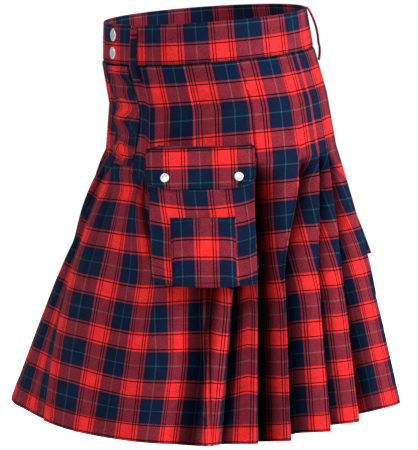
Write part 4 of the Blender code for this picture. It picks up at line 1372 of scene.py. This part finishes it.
def backGrids(side, lines):
    # a patch on the back panel whose gusset grows to its bottom
    made, table, share = [], np.array(backPocket["edges"])[::-1], np.array(backPocket["shares"])
    for row in backPocket["rows"]:
        front, back, depth = (np.interp(row, table[:, 0], column) for column in table.T[1:])
        direction = front + (back - front) * share
        base = widestBridge(direction, [row] * len(share), lines) + backPocket["gap"]
        rise = depth * (1.0 - backPocket["curl"] * (1.0 - rounded(share) ** 0.5))
        made.append((direction, base + rise, base, row))
    return stackRows(side, made)


overBack = joinLines(leftSide[4:] + leftBack)
for prefix, seed in (("left", 51), ("right", 52)):
    grids = backGrids(sides[prefix], overBack)
    makePouch(prefix + "BackPocket", prefix + "_back_pocket", backPocket, sides[prefix], grids, seed)
print("Back pockets are made")

flyPlacket = {
    # height, free edge, sewn edge, lift of the free edge
    "rows": [
        (-34.5, -20.0, 3.0, 1.0),
        (-58.0, -20.5, 4.0, 3.2),
        (-78.0, -18.5, 5.5, 1.2),
        (-100.0, -17.5, 6.5, 0.8),
        (-118.0, -20.0, 6.5, 3.4),
        (-138.0, -18.0, 5.5, 1.0),
        (-160.0, -19.0, 4.0, 1.0),
        (-184.0, -19.5, 0.0, 2.6),
    ],
    "grid": (110, 44),
    "gap": 0.85,
    "outside": 2.0,
    "wall": 1.8,
    # direction of the panel's edge, and the loose share over which the placket starts to follow it
    "frontEdge": -20.0,
    "opens": 0.02,
    # seed, distance from both ends, and the creases themselves
    "ruck": (61, 5.0, (26, 1.35, 5.0, 22.0, 1.0)),
    "swing": (63, 12.0, (9, 1.45, 10.0, 60.0, 1.0)),
    "ruckLow": -0.5,
    "ruckHeight": 2.4,
    "sewnPart": 0.25,
    "freeReach": 1.05,
    "stitchInset": 4.0,
    "checkSwing": 9.0,
    "checkRuck": 3.6,
    "checkAcross": -26.0,
    # distances down the placket and the check's places there
    "checkAlong": [0.0, 30.0, 67.0, 103.0, 128.0, 155.0],
    "checkPlaces": [2.5, 35.5, 71.0, 106.5, 142.0, 177.5],
    "cloth": skirtCloth,
    "slot": "plaid_red",
}


def makePlacket(lines):
    # a strip over the front edge, smooth through its rows, rucked by creases that run across it
    table, (rows, columns) = np.array(flyPlacket["rows"]), flyPlacket["grid"]
    height = np.linspace(table[0, 0], table[-1, 0], rows)[:, None]
    dense = smoothTable(-table[:, 0], table, -height[:, 0])
    share = np.linspace(0.0, 1.0, columns)[None, :]
    direction = dense[:, 1:2] + (dense[:, 2:3] - dense[:, 1:2]) * share
    first = linesPolar({key: value[:1] for key, value in lines.items()}, height)[1]
    base = bodyRadius(direction, height)
    opened = easeShare(loosePart(height, direction) / flyPlacket["opens"])
    base = base + (first - bodyRadius(flyPlacket["frontEdge"], height)) * opened
    base = base + flyPlacket["gap"] + dense[:, 3:4] * (1.0 - share) ** 2
    points = placePoints(direction, base + flyPlacket["outside"], height)
    across, down = arcAlong(points, 1), arcAlong(points, 0)
    width, length = across[:, -1:], down[-1].mean()
    ruck, swing = (
        softCreases(across, down, seed, (0.0, width.mean(), inset, length - inset), creases)
        for seed, inset, creases in (flyPlacket["ruck"], flyPlacket["swing"])
    )
    sewn = flyPlacket["sewnPart"]
    freeSide = sewn + (1.0 - sewn) * (1.0 - easeShare(across / width / flyPlacket["freeReach"]))
    points = moveOut(points, flyPlacket["ruckHeight"] * np.maximum(ruck, flyPlacket["ruckLow"]) * freeSide)
    stitch = nearestStitches(across - width, down, [-flyPlacket["stitchInset"]], [])
    check = np.interp(down, flyPlacket["checkAlong"], flyPlacket["checkPlaces"]) + flyPlacket["checkRuck"] * ruck
    pocketPiece("placket", "fly_placket", flyPlacket, points, across + flyPlacket["checkSwing"] * swing, check, stitch)


makePlacket(joinLines(leftFront))
print("Placket is made")

snapShape = {
    # share of the radius, share of the height
    "profile": [
        (0.0, 0.90), (0.22, 0.90), (0.42, 0.91), (0.58, 0.93), (0.70, 0.965), (0.79, 0.99), (0.86, 1.0),
        (0.92, 0.95), (0.97, 0.80), (1.0, 0.58), (1.0, 0.36), (0.97, 0.14), (0.90, 0.0),
    ],
    "sides": 48,
    "metallic": 0.6,
    "scratches": {"Scale": 900.0, "Detail": 4.0},
    "roughness": {"To Min": 0.22, "To Max": 0.42},
    "tints": [(0.78, 0.78, 0.79, 1.0), (0.93, 0.93, 0.94, 1.0)],
}


def snapMetal():
    # bright plated metal, with faint fine scratches in its roughness and colour
    material, tree, shader = newMaterial("snapMetal")
    place = addNode(tree, "TexCoord", {}).outputs["Object"]
    scratch = addNode(tree, "TexNoise", dict(snapShape["scratches"], Vector=place)).outputs["Fac"]
    rough = addNode(tree, "MapRange", dict(snapShape["roughness"], Value=scratch)).outputs[0]
    tint = addNode(tree, "ValToRGB", {0: scratch})
    for element, colour in zip(tint.color_ramp.elements, snapShape["tints"]):
        element.color = colour
    inputs = {"Base Color": tint.outputs["Color"], "Metallic": snapShape["metallic"], "Roughness": rough}
    feedNode(tree, shader, inputs)
    return material


snapFinish = snapMetal()


def makeSnap(node):
    # a profile turned about the axis of the snap's own solid, which is its thinnest direction
    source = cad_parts[node].data
    places = np.zeros(len(source.vertices) * 3)
    source.vertices.foreach_get("co", places)
    places = places.reshape(-1, 3)
    centre = (places.min(axis=0) + places.max(axis=0)) / 2
    thin = np.linalg.svd(places - places.mean(axis=0), full_matrices=False)[2][2]
    axis = thin * np.sign(thin @ (centre * [1.0, 1.0, 0.0]))
    side = np.cross(axis, [0.0, 0.0, 1.0])
    side = side / np.linalg.norm(side)
    up = np.cross(side, axis)
    level = places @ axis
    flat = places - level[:, None] * axis
    middle = flat.mean(axis=0)
    radius = np.linalg.norm(flat - middle, axis=1).max()

    profile, count = np.array(snapShape["profile"]), snapShape["sides"]
    rise = (level.min() + profile[:, 1] * (level.max() - level.min()))[:, None, None] * axis
    angle = np.linspace(0.0, 2.0 * np.pi, count, endpoint=False)[None, :, None]
    rings = middle + (np.cos(angle) * side + np.sin(angle) * up) * (profile[1:, 0] * radius)[:, None, None] + rise[1:]
    ends = [middle + rise[0, 0], middle + axis * level.min()]
    index = np.arange(len(rings) * count).reshape(-1, count)
    follow = np.roll(index, -1, axis=1)
    faces = np.stack([index[:-1], index[1:], follow[1:], follow[:-1]], axis=-1).reshape(-1, 4).tolist()
    for number, pair in enumerate(((index[0], follow[0]), (follow[-1], index[-1]))):
        faces += np.stack([np.full(count, index.size + number), *pair], axis=-1).tolist()
    mesh = bpy.data.meshes.new(node + "Metal")
    mesh.from_pydata(np.concatenate([rings.reshape(-1, 3), ends]).tolist(), [], faces)
    mesh.polygons.foreach_set("use_smooth", np.ones(len(mesh.polygons), dtype=bool))
    mesh.materials.append(snapFinish)
    piece = linkObject(node + "Metal", mesh)
    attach(piece, "root")
    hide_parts(node)


for snapNode in sorted(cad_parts):
    if "snap" in snapNode:
        makeSnap(snapNode)
print("Snaps are made")
